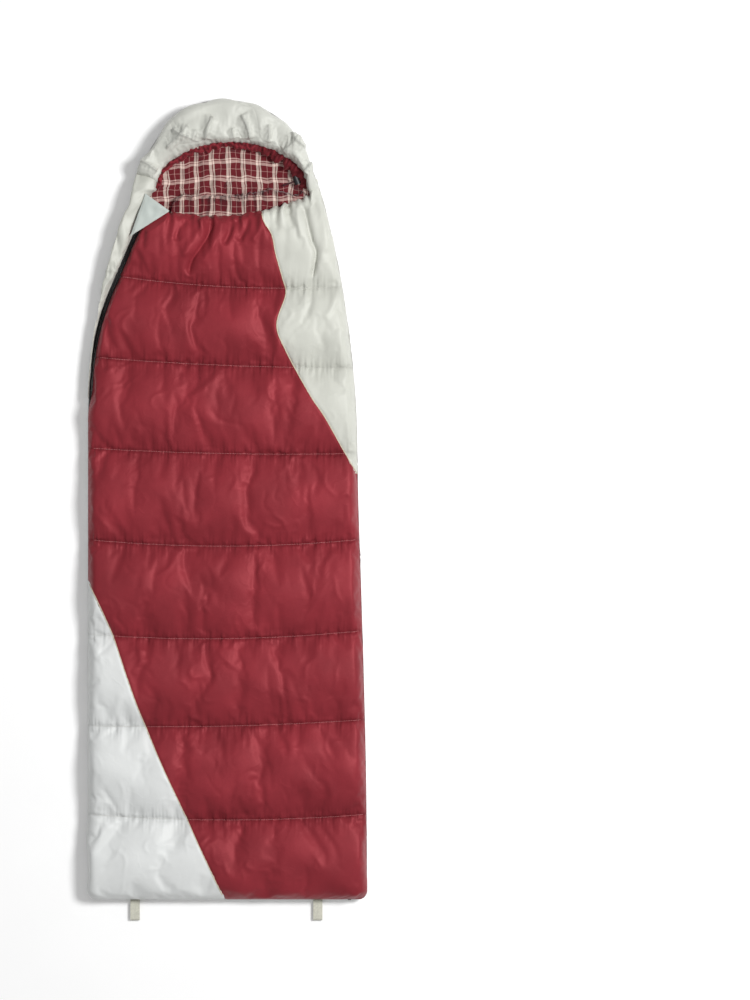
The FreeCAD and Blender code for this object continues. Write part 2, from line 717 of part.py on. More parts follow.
# ---------------------------------------------------------------- sketched pieces
def body_sketch(body, name, role, offset=0.0):
    sketch = body.newObject("Sketcher::SketchObject", name)
    plane = next(item for item in body.Origin.OriginFeatures if item.Role == role)
    sketch.AttachmentSupport = (plane, [""])
    sketch.MapMode = "FlatFace"
    sketch.AttachmentOffset.Base = Vector(0, 0, offset)
    return sketch


def outline(sketch, corners):
    """A closed polygon whose corners lie at the given pairs of expressions from the origin."""
    first, count = sketch.GeometryCount, len(corners)
    spots = [on_arc(Vector(), 1, 2 * math.pi * (number + 0.3) / count) for number in range(count)]
    for number in range(count):
        sketch.addGeometry(Part.LineSegment(spots[number], spots[(number + 1) % count]))
    for number, (spot, corner) in enumerate(zip(spots, corners)):
        following = first + (number + 1) % count
        sketch.addConstraint(Sketcher.Constraint("Coincident", first + number, 2, following, 1))
        for way, start, place in zip(("DistanceX", "DistanceY"), (spot.x, spot.y), corner):
            size = sketch.addConstraint(Sketcher.Constraint(way, -1, 1, first + number, 1, start))
            sketch.setExpression(f"Constraints[{size}]", str(place))


def rectangle(sketch, left, right, low, high):
    outline(sketch, [(left, low), (right, low), (right, high), (left, high)])


def circle(sketch, diameter, x=0.0, y=0.0):
    ring = sketch.addGeometry(Part.Circle(flat(x, y), Vector(0, 0, 1), 1.0))
    number = sketch.addConstraint(Sketcher.Constraint("Diameter", ring, 2.0))
    sketch.setExpression(f"Constraints[{number}]", str(diameter))
    for way, place in (("DistanceX", x), ("DistanceY", y)):
        if place:
            sketch.addConstraint(Sketcher.Constraint(way, -1, 1, ring, 3, place))
    if not x and not y:
        sketch.addConstraint(Sketcher.Constraint("Coincident", ring, 3, -1, 1))


def pad(body, name, sketch, length):
    feature = body.newObject("PartDesign::Pad", name)
    feature.Profile = sketch
    feature.SideType = "Symmetric"
    feature.setExpression("Length", str(length))
    return feature


def pocket(body, name, sketch, length):
    feature = body.newObject("PartDesign::Pocket", name)
    feature.Profile = sketch
    feature.SideType = "Symmetric"
    feature.setExpression("Length", str(length))
    doc.recompute()
    if feature.Shape.Volume > feature.BaseFeature.Shape.Volume - 0.1:
        raise RuntimeError(f"{name} removes nothing")
    return feature


def turned(base, x_axis, z_axis):
    """A placement whose own X and Z axes point along the two given directions."""
    y_axis = z_axis.cross(x_axis)
    matrix = FreeCAD.Matrix(
        x_axis.x, y_axis.x, z_axis.x, base.x,
        x_axis.y, y_axis.y, z_axis.y, base.y,
        x_axis.z, y_axis.z, z_axis.z, base.z,
        0, 0, 0, 1,
    )  # fmt: skip
    return FreeCAD.Placement(matrix)


# Zip slider in its own frame: X along the zip towards the closed part, Z out of the zip. A solid
# plate-and-wedge body, cut from a block: one tunnel for the closed zip, two mouths beside the wedge.
WEDGE_HALF = 1.3
TUNNEL_HALF, SLOT_HALF = 3.2, 0.9
PIN_LEVEL, BRIDGE_UNDER, BRIDGE_TOP = 5.4, 6.7, 8.1
BRIDGE_REACH, BRIDGE_LEG, BRIDGE_WIDTH, BRIDGE_FOOT = 4.6, 1.6, 2.2, 0.1
HALF_LENGTH, HALF_WIDTH, HALF_TAIL = (
    "Dims.slider_length / 2", "Dims.slider_width / 2", "Dims.slider_tail / 2",
)  # fmt: skip
SHOULDER, NOSE = -2.0, 2.2  # where the sides start to draw in, and the rounding of the plates
MOUTH_HALF = "Dims.slider_mouth / 2"


def slider(name, place):
    body = doc.addObject("PartDesign::Body", name)
    plate_top = f"{MOUTH_HALF} + Dims.slider_plate"
    block = body_sketch(body, name + "Plates", "XY_Plane")
    lower_half = [(f"-{HALF_LENGTH}", "-" + HALF_WIDTH), (SHOULDER, "-" + HALF_WIDTH)]
    upper_half = [(SHOULDER, HALF_WIDTH), (f"-{HALF_LENGTH}", HALF_WIDTH)]
    narrow_end = [(HALF_LENGTH, "-" + HALF_TAIL), (HALF_LENGTH, HALF_TAIL)]
    outline(block, lower_half + narrow_end + upper_half)
    solid = pad(body, name + "Block", block, f"2 * ({plate_top})")
    doc.recompute()
    uprights = [
        f"Edge{number}"
        for number, edge in enumerate(solid.Shape.Edges, 1)
        if edge.BoundBox.ZLength > 2 * dim("slider_plate")
    ]
    nose = body.newObject("PartDesign::Fillet", name + "Nose")
    nose.Base = (solid, uprights)
    nose.Radius = NOSE
    tunnel = body_sketch(body, name + "Tunnel", "XZ_Plane")
    rectangle(
        tunnel, f"-{HALF_LENGTH} + {WEDGE_LENGTH}", f"{HALF_LENGTH} + 1", f"-{MOUTH_HALF}", MOUTH_HALF
    )
    pocket(body, name + "TunnelCut", tunnel, 2 * TUNNEL_HALF)
    slot = body_sketch(body, name + "Slot", "XZ_Plane")
    rectangle(
        slot, f"-{HALF_LENGTH} + {WEDGE_LENGTH}", f"{HALF_LENGTH} + 1", -SLOT_HALF, SLOT_HALF
    )
    pocket(body, name + "SlotCut", slot, "Dims.slider_width + 1")
    for number, side in enumerate((-1, 1)):
        for word, far, level in (
            ("Mouth", TUNNEL_HALF, MOUTH_HALF), ("Gap", dim("slider_width"), SLOT_HALF),
        ):  # fmt: skip
            mouth = body_sketch(body, f"{name}{word}{number}", "YZ_Plane", -dim("slider_length") / 2)
            near, out = sorted((side * WEDGE_HALF, side * far))
            rectangle(mouth, near, out, f"-({level})", level)
            pocket(body, f"{name}{word}Cut{number}", mouth, 2 * WEDGE_LENGTH + 0.2)
    arch_side = body_sketch(body, name + "Bridge", "XZ_Plane")
    rectangle(arch_side, -BRIDGE_REACH, BRIDGE_REACH, plate_top, BRIDGE_TOP)
    inner_reach = BRIDGE_REACH - BRIDGE_LEG
    rectangle(arch_side, -inner_reach, inner_reach, f"{plate_top} + {BRIDGE_FOOT}", BRIDGE_UNDER)
    pad(body, name + "BridgePad", arch_side, BRIDGE_WIDTH)
    body.Placement = place
    return piece(name, body)


WINDOW_HALF, WINDOW_LENGTH = 2.2, 6.5


def pull(name, place):
    """A flat pull whose cross bar lies on the slider's pin line and whose window spans the bridge."""
    body = doc.addObject("PartDesign::Body", name)
    flat_side = body_sketch(body, name + "Plan", "XY_Plane")
    rectangle(flat_side, 0, "Dims.pull_length", "-Dims.pull_width / 2", "Dims.pull_width / 2")
    pad(body, name + "Plate", flat_side, "Dims.pull_thickness")
    window = body_sketch(body, name + "Window", "XY_Plane")
    rectangle(window, -WINDOW_LENGTH, WINDOW_LENGTH, -WINDOW_HALF, WINDOW_HALF)
    pocket(body, name + "WindowCut", window, "2 * Dims.pull_thickness")
    bar_end = body_sketch(body, name + "BarEnd", "XZ_Plane")
    circle(bar_end, "Dims.pull_thickness")
    plate = pad(body, name + "Bar", bar_end, "Dims.pull_width")
    doc.recompute()
    end = [
        f"Edge{number}"
        for number, edge in enumerate(plate.Shape.Edges, 1)
        if edge.BoundBox.ZLength > 1 and edge.BoundBox.XMin > dim("pull_length") - 1
    ]
    tip = body.newObject("PartDesign::Fillet", name + "Tip")
    tip.Base = (plate, end)
    tip.Radius = 3.0
    body.Placement = place
    return piece(name, body)


upper_place = turned(ZIP_TOP + neck_run * UPPER_PARK + Vector(0, 0, HIGH), neck_run, Vector(0, 0, 1))
lower_place = turned(Vector(LOWER_PARK_X, FOOT_Y, LOW), Vector(-1, 0, 0), Vector(0, -1, 0))
for word, place in (("upper", upper_place), ("lower", lower_place)):
    slider(word + "_slider", place)
    pull(word + "_pull", place * FreeCAD.Placement(Vector(0, 0, PIN_LEVEL), Rotation()))

# ---------------------------------------------------------------- neck tab
tab_plan = profile("TabPlan", polygon([TAB_TOP, TAB_RIGHT, TAB_FOOT, TAB_TOP]))
piece("neck_tab", extrude("Tab", tab_plan, "Dims.tab_level", "Dims.tab_thickness"))
patch_along = (TAB_FOOT - TAB_TOP).normalize()
patch_in = inward(patch_along)
PATCH_NEAR, PATCH_FAR, PATCH_FROM, PATCH_TO = 0.5, 8.0, 16.0, 104.0
patch_corners = [
    TAB_TOP + patch_along * reach + patch_in * across
    for reach, across in (
        (PATCH_FROM, PATCH_NEAR), (PATCH_TO, PATCH_NEAR),
        (PATCH_TO, PATCH_FAR), (PATCH_FROM, PATCH_FAR),
    )
]  # fmt: skip
patch_plan = profile("PatchPlan", polygon(patch_corners + patch_corners[:1]))
hook_patch = extrude("HookPatch", patch_plan, f"Dims.tab_level - {PATCH_THICKNESS}", PATCH_THICKNESS)
piece("tab_hook_patch", hook_patch)
loop_patch = extrude("LoopPatch", patch_plan, f"Dims.tab_level - {patch_step}", PATCH_THICKNESS)
rim_only = extrude("RimOnly", rim_plan, 0, ABOVE)
piece("rim_loop_patch", common("RimLoopPatch", loop_patch, rim_only))

# ---------------------------------------------------------------- draught tube
# A soft roll sewn under the edge of the front, behind the zip.
TUBE_NEAR, TUBE_FAR, TUBE_CLEAR = 12.0, 34.0, 0.6
tube = band(
    "DraughtTube", side_stretch, TUBE_NEAR, TUBE_FAR, f"Dims.back_thickness + {TUBE_CLEAR}",
    f"Dims.front_bottom - Dims.back_thickness - {TUBE_CLEAR}",
)  # fmt: skip
piece("draught_tube", tube)

# ---------------------------------------------------------------- cord lock
# In its own frame: X along the button's push, Z along the cord.
LOCK_REACH, LOCK_CAP, LOCK_BORE, LOCK_BUTTON = 18.5, 2.0, 10.8, 10.2
LOCK_BACK, LOCK_FRONT, BUTTON_PROUD = 11.0, 9.0, 5.0
CORD_HOLE, BUTTON_BACK = 4.8, 3.6
push_along = flat(-tail_along.y, tail_along.x) * -1
lock_place = turned(tail_start + tail_along * LOCK_REACH, push_along, tail_along)

barrel = doc.addObject("PartDesign::Body", "LockBarrel")
barrel_ring = body_sketch(barrel, "BarrelRing", "YZ_Plane", (LOCK_FRONT - LOCK_BACK) / 2)
circle(barrel_ring, "Dims.lock_diameter")
pad(barrel, "BarrelPad", barrel_ring, "Dims.lock_length")
bore_depth = f"Dims.lock_length - {LOCK_CAP}"
bore_ring = body_sketch(barrel, "BoreRing", "YZ_Plane", (LOCK_FRONT - LOCK_BACK + LOCK_CAP) / 2)
circle(bore_ring, LOCK_BORE)
pocket(barrel, "BoreCut", bore_ring, bore_depth)
cord_hole = body_sketch(barrel, "CordHole", "XY_Plane")
circle(cord_hole, CORD_HOLE)
pocket(barrel, "CordHoleCut", cord_hole, "2 * Dims.lock_diameter")
barrel.Placement = lock_place
piece("cord_lock_barrel", barrel)

button = doc.addObject("PartDesign::Body", "LockButton")
button_length = LOCK_FRONT + BUTTON_PROUD + BUTTON_BACK
button_ring = body_sketch(button, "ButtonRing", "YZ_Plane", button_length / 2 - BUTTON_BACK)
circle(button_ring, LOCK_BUTTON)
pad(button, "ButtonPad", button_ring, button_length)
cord_slot = body_sketch(button, "CordSlot", "XY_Plane")
slot_half = CORD_HOLE / 2
rectangle(cord_slot, -slot_half, f"{slot_half} + Dims.button_travel", -slot_half, slot_half)
pocket(button, "CordSlotCut", cord_slot, "2 * Dims.lock_diameter")
button.Placement = lock_place
piece("cord_lock_button", button)

SPRING_RADIUS, WIRE, SPRING_TURNS, TURN_SIDES = 3.6, 0.9, 3, 12
spring_height = LOCK_BACK - LOCK_CAP - BUTTON_BACK - WIRE - 0.1
half_wire = WIRE / 2
spring_sides = SPRING_TURNS * TURN_SIDES
coil_path = Part.makePolygon([
    on_arc(Vector(0, 0, spring_height * number / spring_sides), SPRING_RADIUS, turn)
    for number, turn in enumerate(2 * math.pi * side / TURN_SIDES for side in range(spring_sides + 1))
])
section = Part.makePolygon([
    Vector(SPRING_RADIUS + x, 0, z)
    for x, z in (
        (-half_wire, -half_wire), (half_wire, -half_wire), (half_wire, half_wire),
        (-half_wire, half_wire), (-half_wire, -half_wire),
    )
])  # fmt: skip
spring = doc.addObject("Part::Feature", "LockSpring")
spring.Shape = coil_path.makePipeShell([section], True, True, 1)
spring.Placement = turned(
    lock_place.multVec(Vector(LOCK_CAP - LOCK_BACK + half_wire + 0.05, 0, 0)),
    tail_along,
    push_along,
)
piece("cord_lock_spring", spring)

# ---------------------------------------------------------------- hanging loops
LOOP_PLACES = (("left", -255.0), ("right", 247.0))
loop_end = dim("loop_height") / 2
STUB_LOW, STUB_REACH = 4.7, 4.0
for word, x in LOOP_PLACES:
    body = doc.addObject("PartDesign::Body", word + "Loop")
    ring = body_sketch(body, word + "LoopRing", "YZ_Plane")
    near, far = FOOT - 3.0 - loop_end, FOOT - dim("loop_reach") + loop_end
    for inset in (0, dim("webbing")):
        first = ring.GeometryCount
        radius = loop_end - inset
        for centre, start in ((near, -math.pi / 2), (far, math.pi / 2)):
            rim = Part.Circle(flat(centre, loop_end), Vector(0, 0, 1), radius)
            ring.addGeometry(Part.ArcOfCircle(rim, start, start + math.pi))
        for level, a, b in ((loop_end + radius, near, far), (loop_end - radius, far, near)):
            ring.addGeometry(Part.LineSegment(flat(a, level), flat(b, level)))
        for left, left_end, right, right_end in (
            (first, 2, first + 2, 1), (first + 2, 2, first + 1, 1),
            (first + 1, 2, first + 3, 1), (first + 3, 2, first, 1),
        ):  # fmt: skip
            ring.addConstraint(Sketcher.Constraint("Tangent", left, left_end, right, right_end))
        size = ring.addConstraint(Sketcher.Constraint("Radius", first, radius))
        ring.setExpression(
            f"Constraints[{size}]", f"Dims.loop_height / 2 - {'Dims.webbing' if inset else 0}"
        )
        for item, centre in ((first, near), (first + 1, far)):
            ring.addConstraint(Sketcher.Constraint("DistanceX", -1, 1, item, 3, centre))
        ring.addConstraint(Sketcher.Constraint("DistanceY", -1, 1, first, 3, loop_end))
    pad(body, word + "LoopPad", ring, "Dims.loop_width")
    body.Placement.Base = Vector(x, 0, 0)
    piece(word + "_hang_loop", body)
    stub = doc.addObject("Part::Box", word + "Stub")
    stub.setExpression("Length", "Dims.loop_width")
    stub.setExpression("Height", "Dims.webbing")
    stub.Width = STUB_REACH + 2
    stub.Placement.Base = Vector(x - dim("loop_width") / 2, FOOT - STUB_REACH / 2 - 0.4, STUB_LOW)
    piece(word + "_loop_anchor", cut(word + "Anchor", stub, back_outer))

doc.recompute()
for thing in doc.Objects:
    if {"Invalid", "Error"} & set(thing.State):
        raise RuntimeError(f"{thing.Name}: {thing.State}")
for name, feature in parts.items():
    shape = feature.Shape
    if shape.isNull() or not shape.isValid():
        raise RuntimeError(f"{name}: no valid shape")
    print(f"{name:22s} solids {len(shape.Solids)}  volume {shape.Volume / 1e3:9.1f} cm3", shape.BoundBox)

os.makedirs("parts", exist_ok=True)
for name, feature in parts.items():
    feature.Shape.exportStep(f"parts/{name}.step")
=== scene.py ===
import json
import math

import bpy
import numpy as np
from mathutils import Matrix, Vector
from mathutils.bvhtree import BVHTree


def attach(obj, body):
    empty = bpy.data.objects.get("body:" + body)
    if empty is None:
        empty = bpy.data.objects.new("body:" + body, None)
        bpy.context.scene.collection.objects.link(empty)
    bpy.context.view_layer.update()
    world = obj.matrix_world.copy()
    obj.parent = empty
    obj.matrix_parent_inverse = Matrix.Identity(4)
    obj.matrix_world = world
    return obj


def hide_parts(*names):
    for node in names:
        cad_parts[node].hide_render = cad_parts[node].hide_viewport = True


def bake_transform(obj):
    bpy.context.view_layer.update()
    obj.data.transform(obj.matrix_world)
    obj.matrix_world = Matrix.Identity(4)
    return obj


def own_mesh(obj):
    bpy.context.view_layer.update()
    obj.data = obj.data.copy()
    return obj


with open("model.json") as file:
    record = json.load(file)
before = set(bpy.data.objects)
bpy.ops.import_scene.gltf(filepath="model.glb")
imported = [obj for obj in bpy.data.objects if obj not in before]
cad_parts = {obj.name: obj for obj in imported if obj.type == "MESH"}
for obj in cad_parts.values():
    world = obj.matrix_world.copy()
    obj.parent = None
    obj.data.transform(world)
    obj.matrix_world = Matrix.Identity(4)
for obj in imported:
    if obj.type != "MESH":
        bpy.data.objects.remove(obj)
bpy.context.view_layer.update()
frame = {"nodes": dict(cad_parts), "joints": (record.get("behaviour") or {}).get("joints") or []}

# Mummy sleeping bag seen from above. Plan sizes are in millimetres, as in the CAD, and become
# metres where a mesh is made. +Y is towards the head, +Z up, and the bag lies on z = 0.
MM = 0.001
NODES = frame["nodes"]


# ---------------------------------------------------------------- camera and lamps
CAMERA_PLACE, CAMERA_LENS, CAMERA_SENSOR, CAMERA_REACH = (0.404, 0.029, 11.45), 150, 36, 60
LAMPS = (("Key", (3.8, 1.3, 5.8), 1.9, 400), ("Overhead", (0.2, 0.4, 6.4), 4.0, 50))


def linked(name, data):
    """A new object, in the scene."""
    obj = bpy.data.objects.new(name, data)
    bpy.context.collection.objects.link(obj)
    return obj


def make_camera():
    camera = linked("Camera", bpy.data.cameras.new("Camera"))
    camera.data.lens = CAMERA_LENS
    camera.data.sensor_fit = "VERTICAL"
    camera.data.sensor_width = camera.data.sensor_height = CAMERA_SENSOR
    camera.data.clip_end = CAMERA_REACH
    camera.location = CAMERA_PLACE
    bpy.context.scene.camera = camera


def make_lamp(name, place, size, power):
    """A round soft lamp that shines at the middle of the bag."""
    light = bpy.data.lights.new(name, "AREA")
    light.shape = "DISK"
    light.size = size
    light.energy = power
    lamp = linked(name, light)
    lamp.location = place
    lamp.rotation_euler = (-Vector(place)).to_track_quat("-Z", "Y").to_euler()


make_camera()
for lamp in LAMPS:
    make_lamp(*lamp)


# ---------------------------------------------------------------- drawcord
# Points in metres. The cord runs inside the hood's gathered edge, and its end comes out there for
# the lock.
CORD_DIAMETER = 0.004
KNOT_SIZE, KNOT_STRAND = 0.0028, 0.0022
CORD_RUN = (
    (-0.1905, 0.880, 0.043), (-0.1905, 0.924, 0.043), (-0.106, 0.985, 0.043), (0.011, 1.010, 0.043),
    (0.128, 0.985, 0.043), (0.2125, 0.924, 0.043), (0.2125, 0.880, 0.043),
)  # fmt: skip
CORD_TAIL = (
    (0.2073, 0.9096, 0.043), (0.1941, 0.9048, 0.043), (0.1810, 0.9000, 0.043),
    (0.1678, 0.8952, 0.043), (0.1547, 0.8904, 0.043),
)  # fmt: skip


def spline_cord(name, points, diameter, closed=False):
    """A cord along a smooth curve of given points, in metres."""
    curve = bpy.data.curves.new(name, "CURVE")
    curve.dimensions = "3D"
    curve.bevel_depth = diameter / 2
    curve.bevel_resolution = 4
    curve.use_fill_caps = True
    spline = curve.splines.new("NURBS")
    spline.points.add(len(points) - 1)
    for point, place in zip(spline.points, points):
        point.co = (*place, 1.0)
    spline.order_u = 3
    spline.use_endpoint_u = not closed
    spline.use_cyclic_u = closed
    spline.resolution_u = 12
    return linked(name, curve)


def knot_points(place, size):
    """A trefoil about `place`, as a cord's end is knotted."""
    turns = [2 * math.pi * number / 18 for number in range(18)]
    return [(
        place[0] + size * (math.sin(t) + 2 * math.sin(2 * t)) / 3,
        place[1] + size * (math.cos(t) - 2 * math.cos(2 * t)) / 3,
        place[2] - size * math.sin(3 * t) / 2.4,
    ) for t in turns]  # fmt: skip


cord_run = spline_cord("drawcord_run", CORD_RUN, CORD_DIAMETER)
cord_tail = spline_cord("drawcord_tail", CORD_TAIL, CORD_DIAMETER)
cord_knot = spline_cord("drawcord_knot", knot_points(CORD_TAIL[-1], KNOT_SIZE), KNOT_STRAND, True)


# ---------------------------------------------------------------- materials
def colour(red, green, blue):
    """An sRGB colour, 0 to 255, as the linear colour that shaders use."""

    def linear(value):
        value /= 255
        return value / 12.92 if value <= 0.04045 else ((value + 0.055) / 1.055) ** 2.4

    return (linear(red), linear(green), linear(blue), 1.0)


class Nodes:
    """A material's node tree with short calls for the nodes that the fabrics share."""

    def __init__(self, name, roughness, specular=0.5, metallic=0.0):
        self.material = bpy.data.materials.new(name)
        self.material.use_nodes = True
        self.tree = self.material.node_tree
        self.shader = next(n for n in self.tree.nodes if n.type == "BSDF_PRINCIPLED")
        self.shader.inputs["Roughness"].default_value = roughness
        self.shader.inputs["Specular IOR Level"].default_value = specular
        self.shader.inputs["Metallic"].default_value = metallic

    def set(self, socket, value):
        if isinstance(value, bpy.types.NodeSocket):
            self.tree.links.new(value, socket)
        else:
            socket.default_value = value

    def attribute(self, name, output="Vector"):
        made = self.tree.nodes.new("ShaderNodeAttribute")
        made.attribute_name = name
        return made.outputs[output]

    def maths(self, operation, first, second=0.0):
        made = self.tree.nodes.new("ShaderNodeMath")
        made.operation = operation
        self.set(made.inputs[0], first)
        self.set(made.inputs[1], second)
        return made.outputs[0]

    def mix(self, share, first, second):
        made = self.tree.nodes.new("ShaderNodeMix")
        made.data_type = "RGBA"
        self.set(made.inputs[0], share)
        self.set(made.inputs[6], first)
        self.set(made.inputs[7], second)
        return made.outputs[2]

    def noise(self, place, scale, detail=3.0):
        made = self.tree.nodes.new("ShaderNodeTexNoise")
        self.set(made.inputs["Vector"], place)
        made.inputs["Scale"].default_value = scale
        made.inputs["Detail"].default_value = detail
        return made.outputs[0]

    def ramp(self, value, stops):
        made = self.tree.nodes.new("ShaderNodeValToRGB")
        self.set(made.inputs[0], value)
        while len(made.color_ramp.elements) < len(stops):
            made.color_ramp.elements.new(0.5)
        for element, (place, tint) in zip(made.color_ramp.elements, stops):
            element.position = place
            element.color = tint
        return made.outputs[0]

    def patches(self, value, tint, share):
        """A tint in soft patches that are lighter or darker by up to `share`."""
        low = tuple(max(0.0, c * (1 - share)) for c in tint[:3]) + (1.0,)
        high = tuple(min(1.0, c * (1 + share)) for c in tint[:3]) + (1.0,)
        return self.ramp(value, ((0.3, low), (0.7, high)))

    def bump(self, height, strength, distance):
        made = self.tree.nodes.new("ShaderNodeBump")
        made.inputs["Strength"].default_value = strength
        made.inputs["Distance"].default_value = distance
        self.set(made.inputs["Height"], height)
        self.set(self.shader.inputs["Normal"], made.outputs[0])

    def place(self):
        """The point of the cloth before it was puffed up, in metres, or the object's own point."""
        return self.attribute("rest")

    def own_place(self):
        return self.tree.nodes.new("ShaderNodeTexCoord").outputs["Object"]


WISPS = 9.0  # how deep the thin wandering lines in the satin are


def satin(name, tint, gloss, patch, roughness=0.5, sheen=0.15, valley_shade=0.3):
    """Tightly woven polyester: soft patches of shade, a fine weave, crinkles and a tinted gloss.

    The last argument is the share of its colour left in painted shade where the fabric is drawn in.
    """
    n = Nodes(name, roughness)
    spot = n.place()
    cloth = n.patches(n.noise(spot, 9.0, 4.0), tint, patch)
    # Painted shade: the colour darkens where the mesh's depth value is low, along seams, creases
    # and gathers.
    if valley_shade:
        painted_shade = tuple(valley_shade * c for c in tint[:3]) + (1.0,)
        cloth = n.mix(n.attribute("depth", "Fac"), painted_shade, cloth)
    n.set(n.shader.inputs["Base Color"], cloth)
    n.shader.inputs["Specular Tint"].default_value = gloss
    n.shader.inputs["Sheen Weight"].default_value = sheen
    n.shader.inputs["Sheen Roughness"].default_value = 0.5
    n.shader.inputs["Sheen Tint"].default_value = gloss
    weave = n.noise(spot, 1500.0, 1.0)
    crinkle = n.noise(spot, 45.0, 4.0)
    away = n.maths("ABSOLUTE", n.maths("SUBTRACT", n.noise(spot, 16.0, 2.0), 0.5))
    shown = n.ramp(n.noise(spot, 11.0, 1.0), ((0.42, (0, 0, 0, 1)), (0.6, (1, 1, 1, 1))))
    wisps = n.maths("MULTIPLY", n.maths("MINIMUM", away, 0.05), n.maths("MULTIPLY", shown, WISPS))
    height = n.maths("ADD", n.maths("MULTIPLY", weave, 0.2), crinkle)
    n.bump(n.maths("SUBTRACT", height, wisps), 0.3, 0.0016)
    return n.material


RED = colour(129, 42, 50)
PALE = colour(197, 198, 189)
BACK_PALE = colour(222, 222, 220)
CREAM = colour(205, 192, 168)
RED_GLOSS, PALE_GLOSS = colour(255, 140, 145), colour(255, 255, 252)

PLAID_PITCH = 0.0425  # metres from one check to the next


def plaid():
    """Brushed flannel in a common check: cream stripes and thin lines both ways, on deep red."""
    n = Nodes("plaid", 0.85, 0.2)
    axes = n.tree.nodes.new("ShaderNodeSeparateXYZ")
    n.set(axes.inputs[0], n.attribute("weave"))
    ground, cream, line = colour(90, 10, 22), colour(234, 221, 207), colour(190, 150, 142)

    def threads(axis, wide):
        turn = n.maths("FRACT", n.maths("DIVIDE", axes.outputs[axis], PLAID_PITCH))
        return n.ramp(turn, (
            (0.0, wide), (0.05, wide), (0.06, ground), (0.10, ground), (0.11, wide), (0.18, wide),
            (0.19, ground), (0.52, ground), (0.53, line), (0.56, line), (0.57, ground),
            (0.88, ground), (0.89, wide),
        ))  # fmt: skip

    woven = n.mix(0.46, threads(0, cream), threads(1, colour(232, 205, 194)))
    wear = n.maths("MULTIPLY", n.noise(n.place(), 300.0, 3.0), 0.3)
    worn = n.mix(wear, woven, colour(130, 50, 56))
    # Painted shade: the check darkens towards a near-black red where the mesh's depth value is low,
    # in creases and between gathers.
    painted_shade = n.mix(0.75, woven, colour(28, 4, 8))
    n.set(n.shader.inputs["Base Color"], n.mix(n.attribute("depth", "Fac"), painted_shade, worn))
    n.shader.inputs["Sheen Weight"].default_value = 0.3
    fuzz = n.noise(n.place(), 1800.0, 2.0)
    n.bump(fuzz, 0.4, 0.0008)
    return n.material


def plain(name, tint, roughness, depth=0.0004, metallic=0.0):
    """A small hard or woven part, with a fine grain."""
    n = Nodes(name, roughness, metallic=metallic)
    spot = n.own_place()
    n.set(n.shader.inputs["Base Color"], n.patches(n.noise(spot, 220.0, 3.0), tint, 0.1))
    n.bump(n.noise(spot, 900.0, 2.0), 0.3, depth)
    return n.material


RED_FABRIC = satin("red_fabric", RED, RED_GLOSS, 0.16, 0.47, 0.1)
PALE_FABRIC = satin("pale_fabric", PALE, PALE_GLOSS, 0.05, valley_shade=0.62)
# The foot panel's pale fabric: a little lighter in itself, and painted lighter still where the
# lamps' light falls off towards the foot.
FOOT_FABRIC = satin("foot_fabric", colour(216, 218, 217), PALE_GLOSS, 0.04, valley_shade=0.62)
HOOD_FABRIC = satin("hood_fabric", colour(199, 200, 192), PALE_GLOSS, 0.05, valley_shade=0.45)
BACK_FABRIC = satin("back_fabric", BACK_PALE, PALE_GLOSS, 0.04, valley_shade=0.62)
CASING_FABRIC = satin("casing_fabric", colour(124, 38, 47), RED_GLOSS, 0.25, 0.6, 0.3)
TAB_FABRIC = satin("tab_fabric", colour(184, 192, 187), PALE_GLOSS, 0.05, valley_shade=0)
PLAID = plaid()
PIPING = plain("piping_cord", CREAM, 0.7)
THREAD = plain("thread", colour(196, 130, 132), 0.7)
PALE_THREAD = plain("pale_thread", colour(188, 186, 178), 0.7)
ZIP_TAPE = plain("zip_tape_weave", colour(26, 26, 28), 0.8)
ZIP_COIL = plain("zip_coil_nylon", colour(20, 20, 22), 0.35)
SLIDER_METAL = plain("slider_enamel", colour(30, 30, 32), 0.3, metallic=0.4)
WEBBING = plain("loop_webbing", colour(199, 198, 184), 0.85, depth=0.001)
CORD_BRAID = plain("cord_braid", colour(60, 16, 24), 0.8, depth=0.001)
LOCK_PLASTIC = plain("lock_plastic_black", colour(24, 24, 26), 0.4)
SPRING_STEEL = plain("spring_wire", colour(170, 170, 172), 0.25, metallic=1.0)
TOUCH_TAPE = plain("touch_tape_pile", colour(200, 202, 196), 0.95, depth=0.002)


# ---------------------------------------------------------------- plan curves, as in the CAD
# Plan points are complex numbers, x + y i, in millimetres.
EDGE_POINTS = (
    (-382, 240), (-358, 522), (-281, 796), (-206, 1000), (-130, 1092), (-20, 1124.6),
    (96, 1102), (190, 1026), (244, 905), (295, 714), (341, 420), (361, -60), (382, -1020.6),
)  # fmt: skip
HALF, HEAD, FOOT, CORNER = 382.0, 1125.0, -1065.0, 44.4


def tangent_arc(start, heading, end):
    """Points of the arc that leaves `start` along `heading` and reaches `end`."""
    chord = end - start
    angle = np.angle(chord / heading)
    share = np.linspace(0, 1, 10)
    if abs(angle) < 1e-6:
        return start + chord * share
    return start + chord * np.sin(angle * share) / np.sin(angle) * np.exp(1j * angle * (share - 1))


def dot(a, b):
    return (a * np.conj(b)).real


def arc_pair(start, heading, end, last_heading):
    """Two arcs that join smoothly between two points with given headings."""
    span, both = end - start, heading + last_heading
    spread, ahead = 2 * (1 - dot(heading, last_heading)), dot(span, both)
    if spread < 1e-9:
        reach = dot(span, span) / (4 * dot(span, last_heading))
    else:
        reach = (math.sqrt(ahead**2 + spread * dot(span, span)) - ahead) / spread
    joint = (start + end + (heading - last_heading) * reach) / 2
    return [tangent_arc(start, heading, joint), tangent_arc(end, -last_heading, joint)[::-1]]


